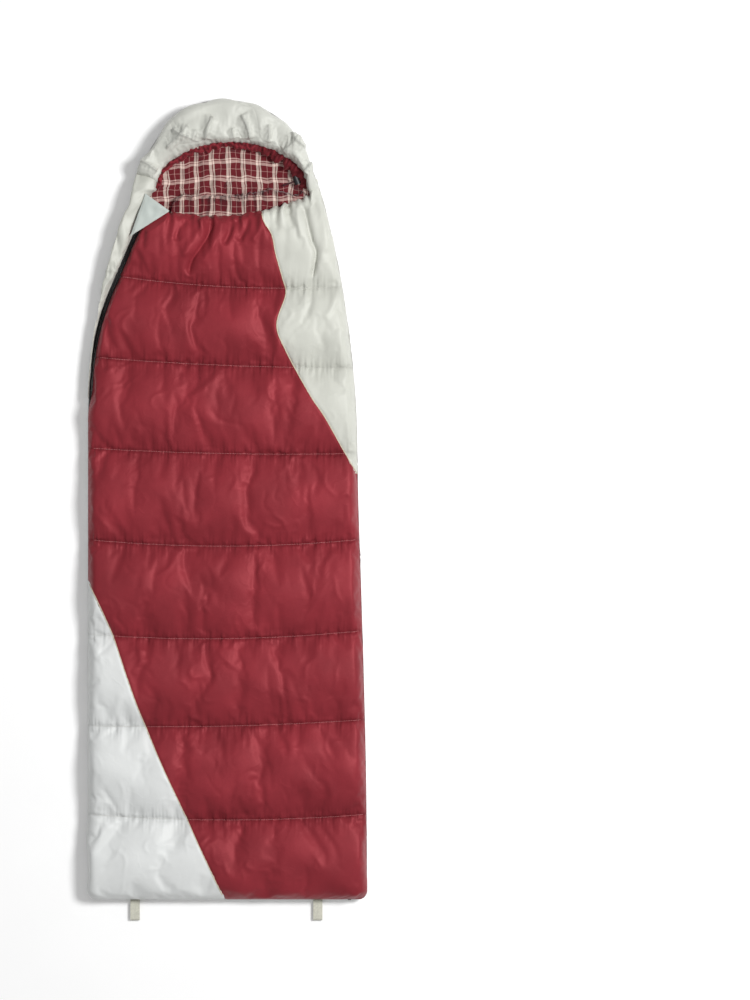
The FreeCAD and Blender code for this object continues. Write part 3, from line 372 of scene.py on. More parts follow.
def arc_chain(points, heading, last_heading):
    """A smooth curve of arcs through all the points."""
    headings = [heading]
    for before, point, after in zip(points, points[1:], points[2:]):
        near, far = point - before, after - point
        share = abs(far) / abs(near)
        mean = near * share + far / share
        headings.append(mean / abs(mean))
    headings.append(last_heading)
    runs = []
    for number in range(len(points) - 1):
        runs += arc_pair(points[number], headings[number], points[number + 1], headings[number + 1])
    return np.concatenate([run[:-1] for run in runs] + [points[-1:]])


def complex_points(points):
    return np.array([complex(*point) for point in points])


edge_run = arc_chain(complex_points(EDGE_POINTS), 1j, -1j)
turns = np.linspace(0, math.pi / 2, 9)
right_corner = complex(HALF - CORNER, FOOT + CORNER) + CORNER * np.exp(-1j * turns)
left_corner = complex(CORNER - HALF, FOOT + CORNER) + CORNER * np.exp(1j * (-math.pi / 2 - turns))
OUTLINE = np.concatenate([edge_run, right_corner[1:], left_corner])
top_number = int(np.argmax(OUTLINE.imag))
bottom_right = int(np.argmin(np.abs(OUTLINE - complex(HALF - CORNER, FOOT))))
right_branch = OUTLINE[top_number : bottom_right + 1][::-1]
left_branch = np.concatenate([OUTLINE[bottom_right + 1 :], OUTLINE[: top_number + 1]])


def right_edge(y):
    return np.interp(y, right_branch.imag, right_branch.real)


def left_edge(y):
    return np.interp(y, left_branch.imag, left_branch.real)


# The zip: straight down the neck, a long bend, then just inside the edge of the bag.
ZIP_TOP, ZIP_BEND = -212 + 847j, -315 + 607j
ZIP_INSET, CHANNEL = 6.4, 6.5  # from the bag's edge to the zip, and from the zip to the fabrics
ZIP_HIGH, ZIP_LOW = 42.0, 33.0  # its levels at the neck and at the side
neck_run = (ZIP_BEND - ZIP_TOP) / abs(ZIP_BEND - ZIP_TOP)
SIDE_X = ZIP_INSET - HALF
zip_meet = (SIDE_X - ZIP_BEND.real) / neck_run.real
BEND_ANGLE = math.acos(-neck_run.imag)
BEND_RADIUS = zip_meet / math.tan(BEND_ANGLE / 2)
BEND_END = complex(SIDE_X, ZIP_BEND.imag + zip_meet * neck_run.imag - zip_meet)
BEND_CENTRE = BEND_END + BEND_RADIUS
bend_turns = math.pi - BEND_ANGLE * np.linspace(1, 0, 13)
bend_run = BEND_CENTRE + BEND_RADIUS * np.exp(1j * bend_turns)
ZIP_LINE = np.concatenate([[ZIP_TOP], bend_run, [SIDE_X - 1020j]])


def zip_edge(y, inside):
    """x of the zip line at y, moved `inside` it at right angles."""
    slope = np.interp(y, [BEND_END.imag, ZIP_BEND.imag], [0, BEND_ANGLE])
    return np.interp(y, ZIP_LINE.imag[::-1], ZIP_LINE.real[::-1]) + inside / np.cos(slope)


# The face opening: three tangent arcs over the face, and the neck edge of the front.
SPAN, RISE, SMALL, ARCH_BASE, ARCH_MIDDLE = 210.0, 132.0, 95.0, 880.0, 11.0
LARGE = (SPAN**2 + RISE**2 - 2 * SPAN * SMALL) / (2 * (RISE - SMALL))
ARCH_JOINT = math.atan2(LARGE - RISE, SPAN - SMALL)


def arch(share, out):
    """Points of the opening's arch, `out` further out. `share` is 0 at its left, 1 at its right."""
    radii = (SMALL, LARGE, SMALL)
    spans = (ARCH_JOINT, math.pi - 2 * ARCH_JOINT, ARCH_JOINT)
    lengths = np.cumsum([0.0] + [radius * span for radius, span in zip(radii, spans)])
    centres = (
        complex(ARCH_MIDDLE - SPAN + SMALL, ARCH_BASE),
        complex(ARCH_MIDDLE, ARCH_BASE + RISE - LARGE),
        complex(ARCH_MIDDLE + SPAN - SMALL, ARCH_BASE),
    )
    starts = (math.pi, math.pi - ARCH_JOINT, ARCH_JOINT)
    reach = np.asarray(share) * lengths[-1]
    result = np.zeros(reach.shape, complex)
    for number in range(3):
        low, high = lengths[number], lengths[number + 1]
        inside = (reach >= low) & (reach <= high + 1e-6)
        turn = starts[number] - (reach - low) / (high - low) * spans[number]
        spot = centres[number] + (radii[number] + out) * np.exp(1j * turn)
        result = np.where(inside, spot, result)
    return result


TAB_TOP, TAB_RIGHT, TAB_FOOT = -223 + 866j, -156 + 818j, -265 + 749j
TAB_LEVEL, TAB_SEAM = 72.0, 6  # its underside, and how far its seam is from its sewn edge


def outside_tab(x, y):
    """How far each plan point is outside the neck tab, less than 0 under it."""
    corners = (TAB_TOP, TAB_RIGHT, TAB_FOOT)
    gaps = []
    for a, b in zip(corners, corners[1:] + corners[:1]):
        along = (b - a) / abs(b - a)
        gaps.append((((x - a.real) + 1j * (y - a.imag)) * np.conj(along)).imag)
    return np.maximum.reduce(gaps)


def smooth(value, low, high):
    """0 below `low`, 1 above `high` and a soft step between."""
    t = np.clip((value - low) / (high - low), 0, 1)
    return t * t * (3 - 2 * t)


def bell(gap, width):
    """1 where the gap is 0, falling off softly over about `width`."""
    return np.exp(-((gap / width) ** 2))


def grid(x, y, z):
    """Points in space, from arrays of their coordinates."""
    return np.stack([x, y, z], axis=-1)


def field(x, y, seed, length, stretch=1.0, count=28):
    """Soft random waves of about the given length, `stretch` times longer along y."""
    rng = np.random.default_rng(seed)
    total = 0.0
    ranges = ((0, 2 * math.pi), (0.7, 1.5), (0, 2 * math.pi))
    for turn, scale, phase in zip(*(rng.uniform(low, high, count) for low, high in ranges)):
        pitch = 2 * math.pi / (length * scale)
        total = total + np.cos(pitch * (x * math.cos(turn) + y * math.sin(turn) / stretch) + phase)
    return total * math.sqrt(2 / count)


def swirl(x, y, seed, length, stretch=2.2):
    """Wandering ridges, as in thin satin that lies loose: 1 along them and 0 between them."""
    bent_x = x + 0.3 * length * field(x, y, seed, 1.3 * length, count=14)
    bent_y = y + 0.3 * length * field(x, y, seed + 1, 1.3 * length, count=14)
    wave = field(bent_x, bent_y, seed + 2, length, stretch, count=18)
    shown = smooth(field(x, y, seed + 3, 1.6 * length, count=14), -0.6, 0.7)
    return np.clip(1 - np.abs(wave) * 3.0, 0, 1) ** 1.5 * shown


def lengths_along(path):
    """How far along a polyline each of its points is."""
    return np.concatenate([[0], np.cumsum(np.abs(np.diff(path)))])


def at_reach(path, lengths, reach):
    """The points of a polyline at the given lengths along it."""
    return np.interp(reach, lengths, path.real) + 1j * np.interp(reach, lengths, path.imag)


def gap_to(x, y, path):
    """Distance from each plan point to a polyline, and the share along it of the nearest point."""
    points = x + 1j * y
    best = np.full(points.shape, 1e9)
    along = np.zeros(points.shape)
    lengths = np.cumsum([0.0] + [abs(b - a) for a, b in zip(path, path[1:])])
    for number, (a, b) in enumerate(zip(path, path[1:])):
        t = np.clip(dot(points - a, b - a) / abs(b - a) ** 2, 0, 1)
        gap = np.abs(points - a - (b - a) * t)
        nearer = gap < best
        best = np.where(nearer, gap, best)
        along = np.where(nearer, (lengths[number] + t * abs(b - a)) / lengths[-1], along)
    return best, along


# ---------------------------------------------------------------- mesh helpers
def new_piece(name, points, faces):
    """A smoothly shaded mesh of points in metres."""
    mesh = bpy.data.meshes.new(name)
    mesh.from_pydata(points.tolist(), [], faces)
    mesh.polygons.foreach_set("use_smooth", [True] * len(mesh.polygons))
    return linked(name, mesh)


def read(items, name, width=1, kind=float):
    """One property of every vertex, face or value, as an array."""
    found = np.empty(len(items) * width, kind)
    items.foreach_get(name, found)
    return found.reshape(-1, width) if width > 1 else found


def cut_panels(quads, seams):
    """Faces, and the panel of each: 0, or 1 + the number of the seam that it is beyond."""
    faces, panels = [], []
    for quad in quads:
        parts = [quad]
        for seam in seams:
            side = seam[quad]
            if side.min() < 0 < side.max() and side[0] == side[2] == 0:
                parts = [quad[[0, 1, 2]], quad[[0, 2, 3]]]
            elif side.min() < 0 < side.max() and side[1] == side[3] == 0:
                parts = [quad[[0, 1, 3]], quad[[1, 2, 3]]]
        for part in parts:
            beyond = [number + 1 for number, seam in enumerate(seams) if seam[part].sum() > 0]
            faces.append(part.tolist())
            panels.append(beyond[0] if beyond else 0)
    return faces, panels


def sheet_mesh(name, points, closed=False, seams=()):
    """A mesh of a grid of points, (rows, columns, 3) in millimetres, kept as its rest places too.

    `closed` joins the columns round. `seams` hold each point's distance beyond a panel seam.
    """
    rows, columns = points.shape[:2]
    numbers = np.arange(rows * columns).reshape(rows, columns)
    after = np.roll(numbers, -1, axis=1)
    last = columns if closed else columns - 1
    quads = np.stack(
        [numbers[:-1, :last], after[:-1, :last], after[1:, :last], numbers[1:, :last]], axis=-1
    ).reshape(-1, 4)
    faces = quads.tolist()
    if seams:
        faces, panels = cut_panels(quads, [seam.ravel() for seam in seams])
    places_in_metres = points.reshape(-1, 3) * MM
    obj = new_piece(name, places_in_metres, faces)
    if seams:
        obj.data.polygons.foreach_set("material_index", panels)
    store(obj, "rest", places_in_metres)
    return obj


def store(obj, name, values):
    """A value per point of the mesh: a number, or three in metres."""
    vector = values.ndim > 1
    attribute = obj.data.attributes.new(name, "FLOAT_VECTOR" if vector else "FLOAT", "POINT")
    attribute.data.foreach_set("vector" if vector else "value", values.astype(np.float32).ravel())


def rest_places(obj):
    """Each point's place before the cloth moved, in millimetres."""
    return read(obj.data.attributes["rest"].data, "vector", 3, np.float32).astype(float) / MM


def places(obj):
    """Each point's place, in metres."""
    return read(obj.data.vertices, "co", 3)


def set_places(obj, found):
    obj.data.vertices.foreach_set("co", found.ravel())
    obj.data.update()


def push(points, height):
    """A grid of points moved along its own normals by `height`."""
    down, across = np.gradient(points, axis=0), np.gradient(points, axis=1)
    normal = np.cross(across, down)
    normal /= np.maximum(np.linalg.norm(normal, axis=-1, keepdims=True), 1e-9)
    return points + normal * height[..., None]


def push_mesh(obj, height):
    """A mesh's points moved along its normals by `height`, in millimetres."""
    normals = read(obj.data.vertex_normals, "vector", 3, np.float32)
    set_places(obj, places(obj) + normals * height[:, None] * MM)


def surface_of(obj):
    """A search tree of a mesh, for laying threads on it."""
    faces = [tuple(face.vertices) for face in obj.data.polygons]
    return BVHTree.FromPolygons([vertex.co for vertex in obj.data.vertices], faces)


def laid_on(tree, path, way=-1):
    """Where plan points meet a surface from above (-1) or below (1), and its normals there."""
    spots, normals = [], []
    for point in path:
        start = Vector((point.real * MM, point.imag * MM, -0.3 * way))
        spot, normal, _, _ = tree.ray_cast(start, Vector((0, 0, way)))
        if spot is not None:
            spots.append(spot / MM)
            normals.append(normal if normal.z * way < 0 else -normal)
    return np.array(spots), np.array(normals)


def evenly(path, pitch):
    """Points a fixed pitch apart along a polyline of plan points."""
    lengths = lengths_along(path)
    return at_reach(path, lengths, np.arange(pitch / 2, lengths[-1], pitch))


def rods(name, starts, ends, normals, radius):
    """One mesh of short round-ended rods, between pairs of points in millimetres."""
    along = ends - starts
    length = np.linalg.norm(along, axis=1, keepdims=True)
    keep = length[:, 0] > 0.2
    starts, along, length, normals = starts[keep], along[keep], length[keep], normals[keep]
    side = np.cross(along, normals)
    side /= np.linalg.norm(side, axis=1, keepdims=True)
    up = np.cross(side, along) / length
    rings = ((0.0, 0.4), (0.18, 1.0), (0.82, 1.0), (1.0, 0.4))  # shares of length and of radius
    points = np.stack([
        starts + along * share + (side * math.cos(turn) + up * math.sin(turn)) * radius * size
        for share, size in rings
        for turn in np.arange(6) * math.pi / 3
    ], axis=1)
    faces = [tuple(range(6)), tuple(range(23, 17, -1))]
    for ring in range(3):
        for corner in range(6):
            a, b = 6 * ring + corner, 6 * ring + (corner + 1) % 6
            faces.append((a, a + 6, b + 6, b))
    firsts = range(0, 24 * len(points), 24)
    every = [tuple(first + corner for corner in face) for first in firsts for face in faces]
    return new_piece(name, points.reshape(-1, 3) * MM, every)


def stitched(name, paths, tree, way=-1, stitch=3.0, pitch=4.6, radius=0.5):
    """Thread stitches along plan paths on a surface."""
    starts, ends, normals = [], [], []
    for path in paths:
        middles = evenly(path, pitch)
        heading = np.gradient(middles)
        half = heading / np.abs(heading) * stitch / 2
        for a, b in zip(middles - half, middles + half):
            spots, facing = laid_on(tree, (a, b), way)
            if len(spots) == 2 and abs(spots[0][2] - spots[1][2]) < stitch:
                starts.append(spots[0] + facing[0] * 0.3)
                ends.append(spots[1] + facing[1] * 0.3)
                normals.append(facing[0])
    return rods(name, np.array(starts), np.array(ends), np.array(normals), radius)


def tube_along(name, spots, normals, radius):
    """A round cord through points in millimetres."""
    along = np.gradient(spots, axis=0)
    side = np.cross(along, normals)
    side /= np.linalg.norm(side, axis=1, keepdims=True)
    up = np.cross(side, along)
    up /= np.linalg.norm(up, axis=1, keepdims=True)
    turn = np.arange(8) * 2 * math.pi / 8
    ring = side[:, None] * (np.cos(turn) * radius)[:, None]
    ring = ring + up[:, None] * (np.sin(turn) * radius)[:, None]
    return sheet_mesh(name, spots[:, None] + ring, closed=True)


def paint(obj, material):
    obj.data.materials.clear()
    obj.data.materials.append(material)


def dress(obj, material, slot, body, *replaced):
    """A piece's material, a slot name that is not used, its body, and the CAD nodes that it
    replaces.
    """
    paint(obj, material)
    if body:
        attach(obj, body)
    if replaced:
        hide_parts(*replaced)


def evaluated_mesh(obj):
    """The mesh that an object's modifiers make of it."""
    graph = bpy.context.evaluated_depsgraph_get()
    return bpy.data.meshes.new_from_object(obj.evaluated_get(graph))


def subdivide(obj):
    """One more division of every face, applied."""
    modifier = obj.modifiers.new("Fine", "SUBSURF")
    modifier.levels = modifier.render_levels = 1
    bpy.context.view_layer.update()
    made = evaluated_mesh(obj)
    obj.modifiers.clear()
    obj.data = made
    made.polygons.foreach_set("use_smooth", [True] * len(made.polygons))


def panels_of(obj, names):
    """Splits a mesh into one object for each of its panels."""
    rest, found = rest_places(obj), places(obj)
    quads = read(obj.data.loops, "vertex_index", kind=int).reshape(-1, 4)
    panel = read(obj.data.polygons, "material_index", kind=int)
    shaded = read(obj.data.attributes["depth"].data, "value", kind=np.float32)
    made = []
    for number, name in enumerate(names):
        used, faces = np.unique(quads[panel == number], return_inverse=True)
        piece = new_piece(name, found[used], faces.reshape(-1, 4).tolist())
        store(piece, "rest", rest[used] * MM)
        store(piece, "depth", shaded[used])
        made.append(piece)
    bpy.data.objects.remove(obj)
    return made


cloths = []


def as_cloth(obj, pins, cap, pressure=1.5, growth=0.03, bending=0.4):
    """Sets up a piece for the cloth simulation.

    `pins` is 0 to 1 for each point, and no point is moved further than `cap`, in millimetres.
    """
    group = obj.vertex_groups.new(name="pins")
    pins = np.round(pins.ravel(), 1)
    for level in np.unique(pins):
        group.add(np.nonzero(pins == level)[0].tolist(), float(level), "REPLACE")
    modifier = obj.modifiers.new("Cloth", "CLOTH")
    settings = modifier.settings
    settings.quality = 6
    settings.mass = 0.15
    settings.tension_stiffness = settings.compression_stiffness = 25
    settings.shear_stiffness = 8
    settings.bending_stiffness = bending
    settings.air_damping = 4
    settings.vertex_group_mass = "pins"
    settings.use_pressure = True
    settings.uniform_pressure_force = pressure
    settings.shrink_min = -growth
    settings.effector_weights.gravity = 0
    modifier.collision_settings.use_collision = False
    cloths.append((obj, cap))


FRAMES = 18


def simulate():
    """Runs the cloth of every piece together, and keeps the shapes within the cap of each."""
    for number in range(1, FRAMES + 1):
        bpy.context.scene.frame_set(number)
    for obj, cap in cloths:
        before = places(obj)
        made = evaluated_mesh(obj)
        move = read(made.vertices, "co", 3) - before
        bpy.data.meshes.remove(made)
        length = np.maximum(np.linalg.norm(move, axis=1, keepdims=True), 1e-9)
        limit = cap * MM
        set_places(obj, before + move * limit * np.tanh(length / limit) / length)
        obj.modifiers.clear()
        subdivide(obj)
    bpy.context.scene.frame_set(1)


def border(shape):
    """1 at the outermost points of a grid."""
    mask = np.zeros(shape)
    mask[0], mask[-1], mask[:, 0], mask[:, -1] = 1, 1, 1, 1
    return mask


def quilt_pins(gap, reach):
    """The pins of a quilted piece: its edges and, nearer than about `reach`, its quilt lines."""
    return np.maximum(border(gap.shape), np.clip(1.3 - gap / reach, 0, 1))


def rounded_path(path, count=120):
    """A smooth curve through the points, for seams and folds."""
    share = np.linspace(0, len(path) - 1, count)
    number = np.clip(share.astype(int), 0, len(path) - 2)
    t = share - number
    padded = np.concatenate([[2 * path[0] - path[1]], path, [2 * path[-1] - path[-2]]])
    a, b, c, d = (padded[number + step] for step in range(4))
    square, cube = 2 * a - 5 * b + 4 * c - d, 3 * b - a - 3 * c + d
    return 0.5 * (2 * b + (c - a) * t + square * t**2 + cube * t**3)


def add_fold(height, x, y, path, width, depth, fade=0.25):
    """Adds a soft ridge, or a groove if `depth` is negative, along a path of plan points."""
    margin = 3 * width
    near = (x > path.real.min() - margin) & (x < path.real.max() + margin)
    near &= (y > path.imag.min() - margin) & (y < path.imag.max() + margin)
    if near.any():
        gap, along = gap_to(x[near], y[near], path)
        ends = smooth(along, 0, fade) * (1 - smooth(along, 1 - fade, 1))
        height[near] += depth * bell(gap, width) * ends


def add_folds(height, x, y, folds, count, fade):
    """Adds each fold of a table of listed paths, widths and depths."""
    for path, width, depth in folds:
        add_fold(height, x, y, rounded_path(complex_points(path), count), width, depth, fade)


def random_folds(x, y, lines, seed, count, length, width, depth):
    """Folds from the quilt lines up or down the tubes, each with its own slant and bend."""
    rng = np.random.default_rng(seed)
    height = np.zeros(x.shape)
    for line in lines:
        for _ in range(count):
            across = rng.uniform(-0.95, 0.95) * HALF
            way = rng.choice((-1, 1))
            slant, bend = rng.normal(0, 0.45), rng.normal(0, 0.5)
            reach = length * rng.uniform(0.5, 1.4)
            steps = np.linspace(0, 1, 7)
            turn = slant + bend * (steps - 0.3)
            run = np.cumsum(np.sin(turn) + 1j * np.cos(turn) * way) * reach / 7
            start = complex(across, quilt_line(line, across) + 6 * way)
            own_width = width * rng.uniform(0.7, 1.4)
            add_fold(height, x, y, start + run, own_width, depth * rng.uniform(0.4, 1.2))
    return height


def loose_folds(x, y, lines, seed, count):
    """Thin S-shaped folds where the satin lies loose between the quilt lines."""
    rng = np.random.default_rng(seed)
    height = np.zeros(x.shape)
    steps = np.linspace(-1, 1, 15)
    for line in lines:
        for _ in range(count):
            across = rng.uniform(-0.94, 0.94) * HALF
            middle = complex(across, quilt_line(line, across) + rng.uniform(40, 215))
            lean, bend = rng.normal(0, 0.65), rng.choice((-1, 1)) * rng.uniform(0.3, 1.1)
            turn = lean + bend * np.sin(math.pi * steps + rng.uniform(-0.8, 0.8))
            run = np.cumsum(np.sin(turn) + 1j * np.cos(turn)) * rng.uniform(60, 150) / len(steps)
            size = rng.uniform(0.3, 1.0) ** 1.5
            depth = size * rng.choice((1.9, 1.9, -1.5))
            add_fold(height, x, y, middle + run - run[7], 3.0 + 4.0 * size, depth, 0.4)
    return height


# ---------------------------------------------------------------- the front and its side fold
CELL = 6.2
SEAM_LEVEL, CROWN = 55.0, 76.0
# Height along the bag of each quilt line: at the left edge, in the middle and at the right edge.
FRONT_LINES = (
    (654, 612, 616), (421, 397, 391), (171, 156, 157), (-79, -97, -77),
    (-338, -350, -327), (-588, -589, -571), (-830, -846, -830),
)  # fmt: skip
RIGHT_SEAM = complex_points((
    (94, 880), (97, 800), (122, 753), (133, 700), (152, 632), (160, 590),
    (136, 508), (160, 437), (226, 316), (268, 253), (336, 133), (420, 0),
))  # fmt: skip
LEFT_SEAM = complex_points((
    (-420, -130), (-382, -190), (-316, -333), (-213, -615), (-7, -1065), (12, -1110),
))  # fmt: skip
right_seam, left_seam = rounded_path(RIGHT_SEAM), rounded_path(LEFT_SEAM)


def seam_x(seam, y):
    """x of a panel seam at y."""
    return np.interp(y, seam.imag[::-1], seam.real[::-1])


def quilt_line(line, x):
    """y of a quilt line at x: a parabola through its three heights."""
    left, middle, right = line
    s = x / HALF
    return middle + (right - left) / 2 * s + ((left + right) / 2 - middle) * s * s


FRONT_TOP = 905.0  # where the front's uppermost tube ends


def tube_share(x, y, lines, top=FRONT_TOP):
    """0 at each quilt line and 1 half way between, with the distance to the nearest line."""
    heights = [top + 0 * x] + [quilt_line(line, x) for line in lines]
    heights.append(heights[-1] - 262)
    share = np.zeros(np.shape(x))
    gap = np.full(np.shape(x), 1e9)
    for high, low in zip(heights, heights[1:]):
        inside = (y <= high) & (y >= low)
        share = np.where(inside, np.sin(math.pi * np.clip((y - low) / (high - low), 0, 1)), share)
    for height in heights[1:-1]:
        gap = np.minimum(gap, np.abs(y - height))
    return share, gap


def circle_through(a, b, c):
    """Centre and radius of the circle through three plan points."""
    first, second = b - a, c - a
    swing = 2 * (first.real * second.imag - first.imag * second.real)
    centre = a + 1j * (second * abs(first) ** 2 - first * abs(second) ** 2) / -swing
    return centre, abs(centre - a)


NECK_LEFT, NECK_LOW, NECK_RIGHT = -158 + 818j, 808j, 226 + 866j
NECK_CENTRE, NECK_RADIUS = circle_through(NECK_LEFT, NECK_LOW, NECK_RIGHT)
LEFT_RISE, RIGHT_RISE = 0.53, 2.6  # how steeply the edge goes on beyond the arc's two ends


def neck_edge(x):
    """y of the front's upper edge, and of the side fold's upper end right of it."""
    drop = np.sqrt(np.maximum(NECK_RADIUS**2 - (x - NECK_CENTRE.real) ** 2, 0))
    left = NECK_LEFT.imag + (NECK_LEFT.real - x) * LEFT_RISE
    right = NECK_RIGHT.imag + (x - NECK_RIGHT.real) * RIGHT_RISE
    arc = np.where(x > NECK_RIGHT.real, right, NECK_CENTRE.imag - drop)
    return np.where(x < NECK_LEFT.real, left, arc)


def wall_columns(width, near, far, count, cell):
    """Shares across a width, crowded towards both edges so that the walls are well divided."""
    turn = np.linspace(0, math.pi / 2, count)
    left, right = near * (1 - np.cos(turn)), width - far * (1 - np.cos(turn))
    middle = np.linspace(near, width - far, int((width - near - far) / cell))
    return np.concatenate([left[:-1], middle, right[::-1][1:]]) / width


def snap_to_seam(x, y, seam, side):
    """Moves the nearest point of each row onto a seam, and gives how far each is beyond it."""
    gap = x - seam_x(seam, y)
    rows = np.arange(len(x))
    nearest = np.argmin(np.abs(gap), axis=1)
    close = np.abs(gap[rows, nearest]) < 0.7 * np.gradient(x, axis=1)[rows, nearest]
    chosen = rows[close], nearest[close]
    x[chosen] -= gap[chosen]
    gap[chosen] = 0
    return gap * side


NECK_FOLDS = (  # plan points, width and depth of the folds below the face opening
    (((-34, 800), (-62, 735), (-97, 681), (-104, 640)), 11, -9),
    (((-8, 800), (-34, 730), (-72, 672)), 10, 5),
    (((-70, 800), (-92, 745), (-122, 690)), 10, 5),
    (((20, 800), (8, 760), (-10, 725)), 8, -8),
    (((60, 806), (52, 770), (30, 735)), 8, -7),
    (((-110, 800), (-128, 770), (-140, 735)), 8, -6),
    (((95, 812), (88, 770), (70, 730)), 8, 5),
    (((207, 845), (220, 782), (231, 736), (242, 708), (240, 681), (231, 626)), 9, -9),
    (((171, 840), (172, 800), (180, 770)), 8, -6),
    (((190, 835), (196, 780), (204, 740)), 8, 5),
    (((137, 828), (132, 790), (140, 765)), 8, -5),
    (((242, 870), (262, 800), (276, 700)), 10, 4),
    (((262, 520), (290, 560), (300, 620)), 9, 4),
    (((215, 520), (228, 580), (232, 640)), 9, -4),
)


ROUND = 26.0  # how far in from its edge a wall of the front or the back curves
TOP_ROW = 868.0  # the front's uppermost row of points, before it is bent to the neck edge
ZIP_LEAVES = (260, 345)  # the heights between which the zip leaves the bag's edge
LIP = 37.0  # level of the front's edge at the foot


def front_left(y, inside=0.0, beside=CHANNEL):
    """x of the front's left edge: the bag's edge low down, and next to the zip further up."""
    wide = smooth(y, *ZIP_LEAVES)
    return (left_edge(y) + inside) * (1 - wide) + zip_edge(y, beside) * wide


def bent_rows(y_row, share, sides, neck, top):
    """Rows of points from side to side, bent at the head so that the last one is the neck edge."""
    y = y_row.copy()
    for _ in range(12):
        left, right = sides(y)
        x = left + (right - left) * share
        y += 0.5 * (y_row + (neck(x) - top) * smooth(y_row, 560, TOP_ROW) - y)
    return x, y, left, right


def foot_rows():
    """Heights of the rows in the wall at the foot, crowded towards the edge."""
    return FOOT + ROUND * (1 - np.cos(np.linspace(0, math.pi / 2, 7)))[:-1]


def front_sheet():
    """The front's fabric with the side fold, and how far it is beyond seams and off quilt lines."""
    above = np.linspace(FOOT + ROUND, TOP_ROW, int((TOP_ROW - FOOT - ROUND) / CELL))
    shares = wall_columns(2 * HALF, ROUND, ROUND, 8, CELL)
    u, y_row = np.meshgrid(shares, np.concatenate([foot_rows(), above]))

    def sides(y):
        return front_left(y), right_edge(y)

    x, y, left, _ = bent_rows(y_row, u, sides, neck_edge, TOP_ROW)
    seams = [snap_to_seam(x, y, right_seam, 1), snap_to_seam(x, y, left_seam, -1)]
    high = smooth(y, 280, 345)
    gaps = (  # for each edge: how far off it is, how far in its wall curves, and its level
        (x - left, 14 + 12 * (1 - high), LIP + (ZIP_HIGH - LIP) * high),
        (right_edge(y) - x, 30.0, 27.0),
        (y - FOOT, ROUND, LIP),
        (neck_edge(x) - y, 22.0, 50.0),
    )
    steep = [np.clip(1 - gap / reach, 0, 1) ** 2 for gap, reach, _ in gaps]
    total = sum(steep)
    base = sum(s * level for s, (_, _, level) in zip(steep, gaps)) / np.maximum(total, 1e-9)
    share, line_gap = tube_share(x, y, FRONT_LINES)
    top = SEAM_LEVEL + (CROWN - SEAM_LEVEL) * share**0.6
    z = base + (top - base) * np.sqrt(np.clip(1 - total, 0, 1))
    z = np.where(total > 1e-9, z, top)
    overhang = smooth(y, 440, 600) * (1 - smooth(y, 780, 890))
    x = x + 15 * overhang * bell(right_edge(y) - x - 12, 20) * (1 - steep[1])
    height = random_folds(x, y, FRONT_LINES, 5, 7, 105, 13, 2.2)
    height += random_folds(x, y, FRONT_LINES, 8, 4, 70, 10, -1.4)
    add_folds(height, x, y, NECK_FOLDS, 30, 0.12)
    below = np.clip(neck_edge(x) - y, 0, None)
    height += 4.5 * np.exp(-below / 48) * field(x, y, 3, 26, 6) * smooth(below, 0, 8)
    height += 1.5 * field(x, y, 21, 120) * np.clip(1 - total, 0, 1)
    inner = np.clip(1 - total, 0, 1)
    points = push(grid(x, y, z), height * (0.25 + 0.75 * inner))
    return points, seams, line_gap


front_points, front_seams, front_gap = front_sheet()
front = sheet_mesh("front_fabric", front_points, seams=front_seams)
as_cloth(front, quilt_pins(front_gap, 4.0), cap=15, pressure=1.6, growth=0.022)


def line_puckers(x, y, gap, seed):
    """Fine gathers of the fabric at right angles to a quilt line."""
    fine = field(x, y * 0.12, seed, 10, count=24) + field(x, y * 0.2, seed + 1, 24, count=16)
    return fine * np.exp(-gap / 16.0) * smooth(gap, 0, 4)


# ---------------------------------------------------------------- the back
BACK_LINES = tuple((640 - 256 * number,) * 3 for number in range(7))
BACK_TOP = 896.0  # where the back's uppermost tube ends
RIM_FOOT = 31  # level at which the back meets the hood and the rim


def back_sheet():
    """The back's fabric: from the zip round under the bag, as rows across the bag."""
    arch_foot, cell, wall = HEAD - 65, 8, 22.0
    heights = np.concatenate([
        foot_rows(),
        np.linspace(FOOT + ROUND, arch_foot, int((arch_foot - FOOT - ROUND) / cell)),
        HEAD - 65 * (1 - np.sin(np.linspace(0, math.pi / 2, 12)))[1:],
    ])
    heights[-1] = HEAD - 0.3
    u, y = np.meshgrid(wall_columns(2 * HALF, wall, wall, 7, cell), heights)
    left, right = left_edge(y), right_edge(y)
    x = left + (right - left) * u
    gap, _ = gap_to(x, y, np.append(OUTLINE, OUTLINE[0]))
    steep = np.clip(1 - gap / wall, 0, 1) ** 2
    share, line_gap = tube_share(x, y, BACK_LINES, BACK_TOP)
    under = 8 + 5.0 * (1 - np.clip(share, 0, 1) ** 0.5) * smooth(gap, 0, 40)
    z = RIM_FOOT - (RIM_FOOT - under) * np.sqrt(1 - steep)
    height = random_folds(x, y, BACK_LINES, 15, 8, 95, 11, 2.5) * smooth(gap, 5, 40)
    points = grid(x, y, z - height)
    return points[:, ::-1], line_gap[:, ::-1]


back_points, back_gap = back_sheet()
back = sheet_mesh("back_fabric", back_points)
as_cloth(back, quilt_pins(back_gap, 5.0), cap=5.5, pressure=1.0, growth=0.015)


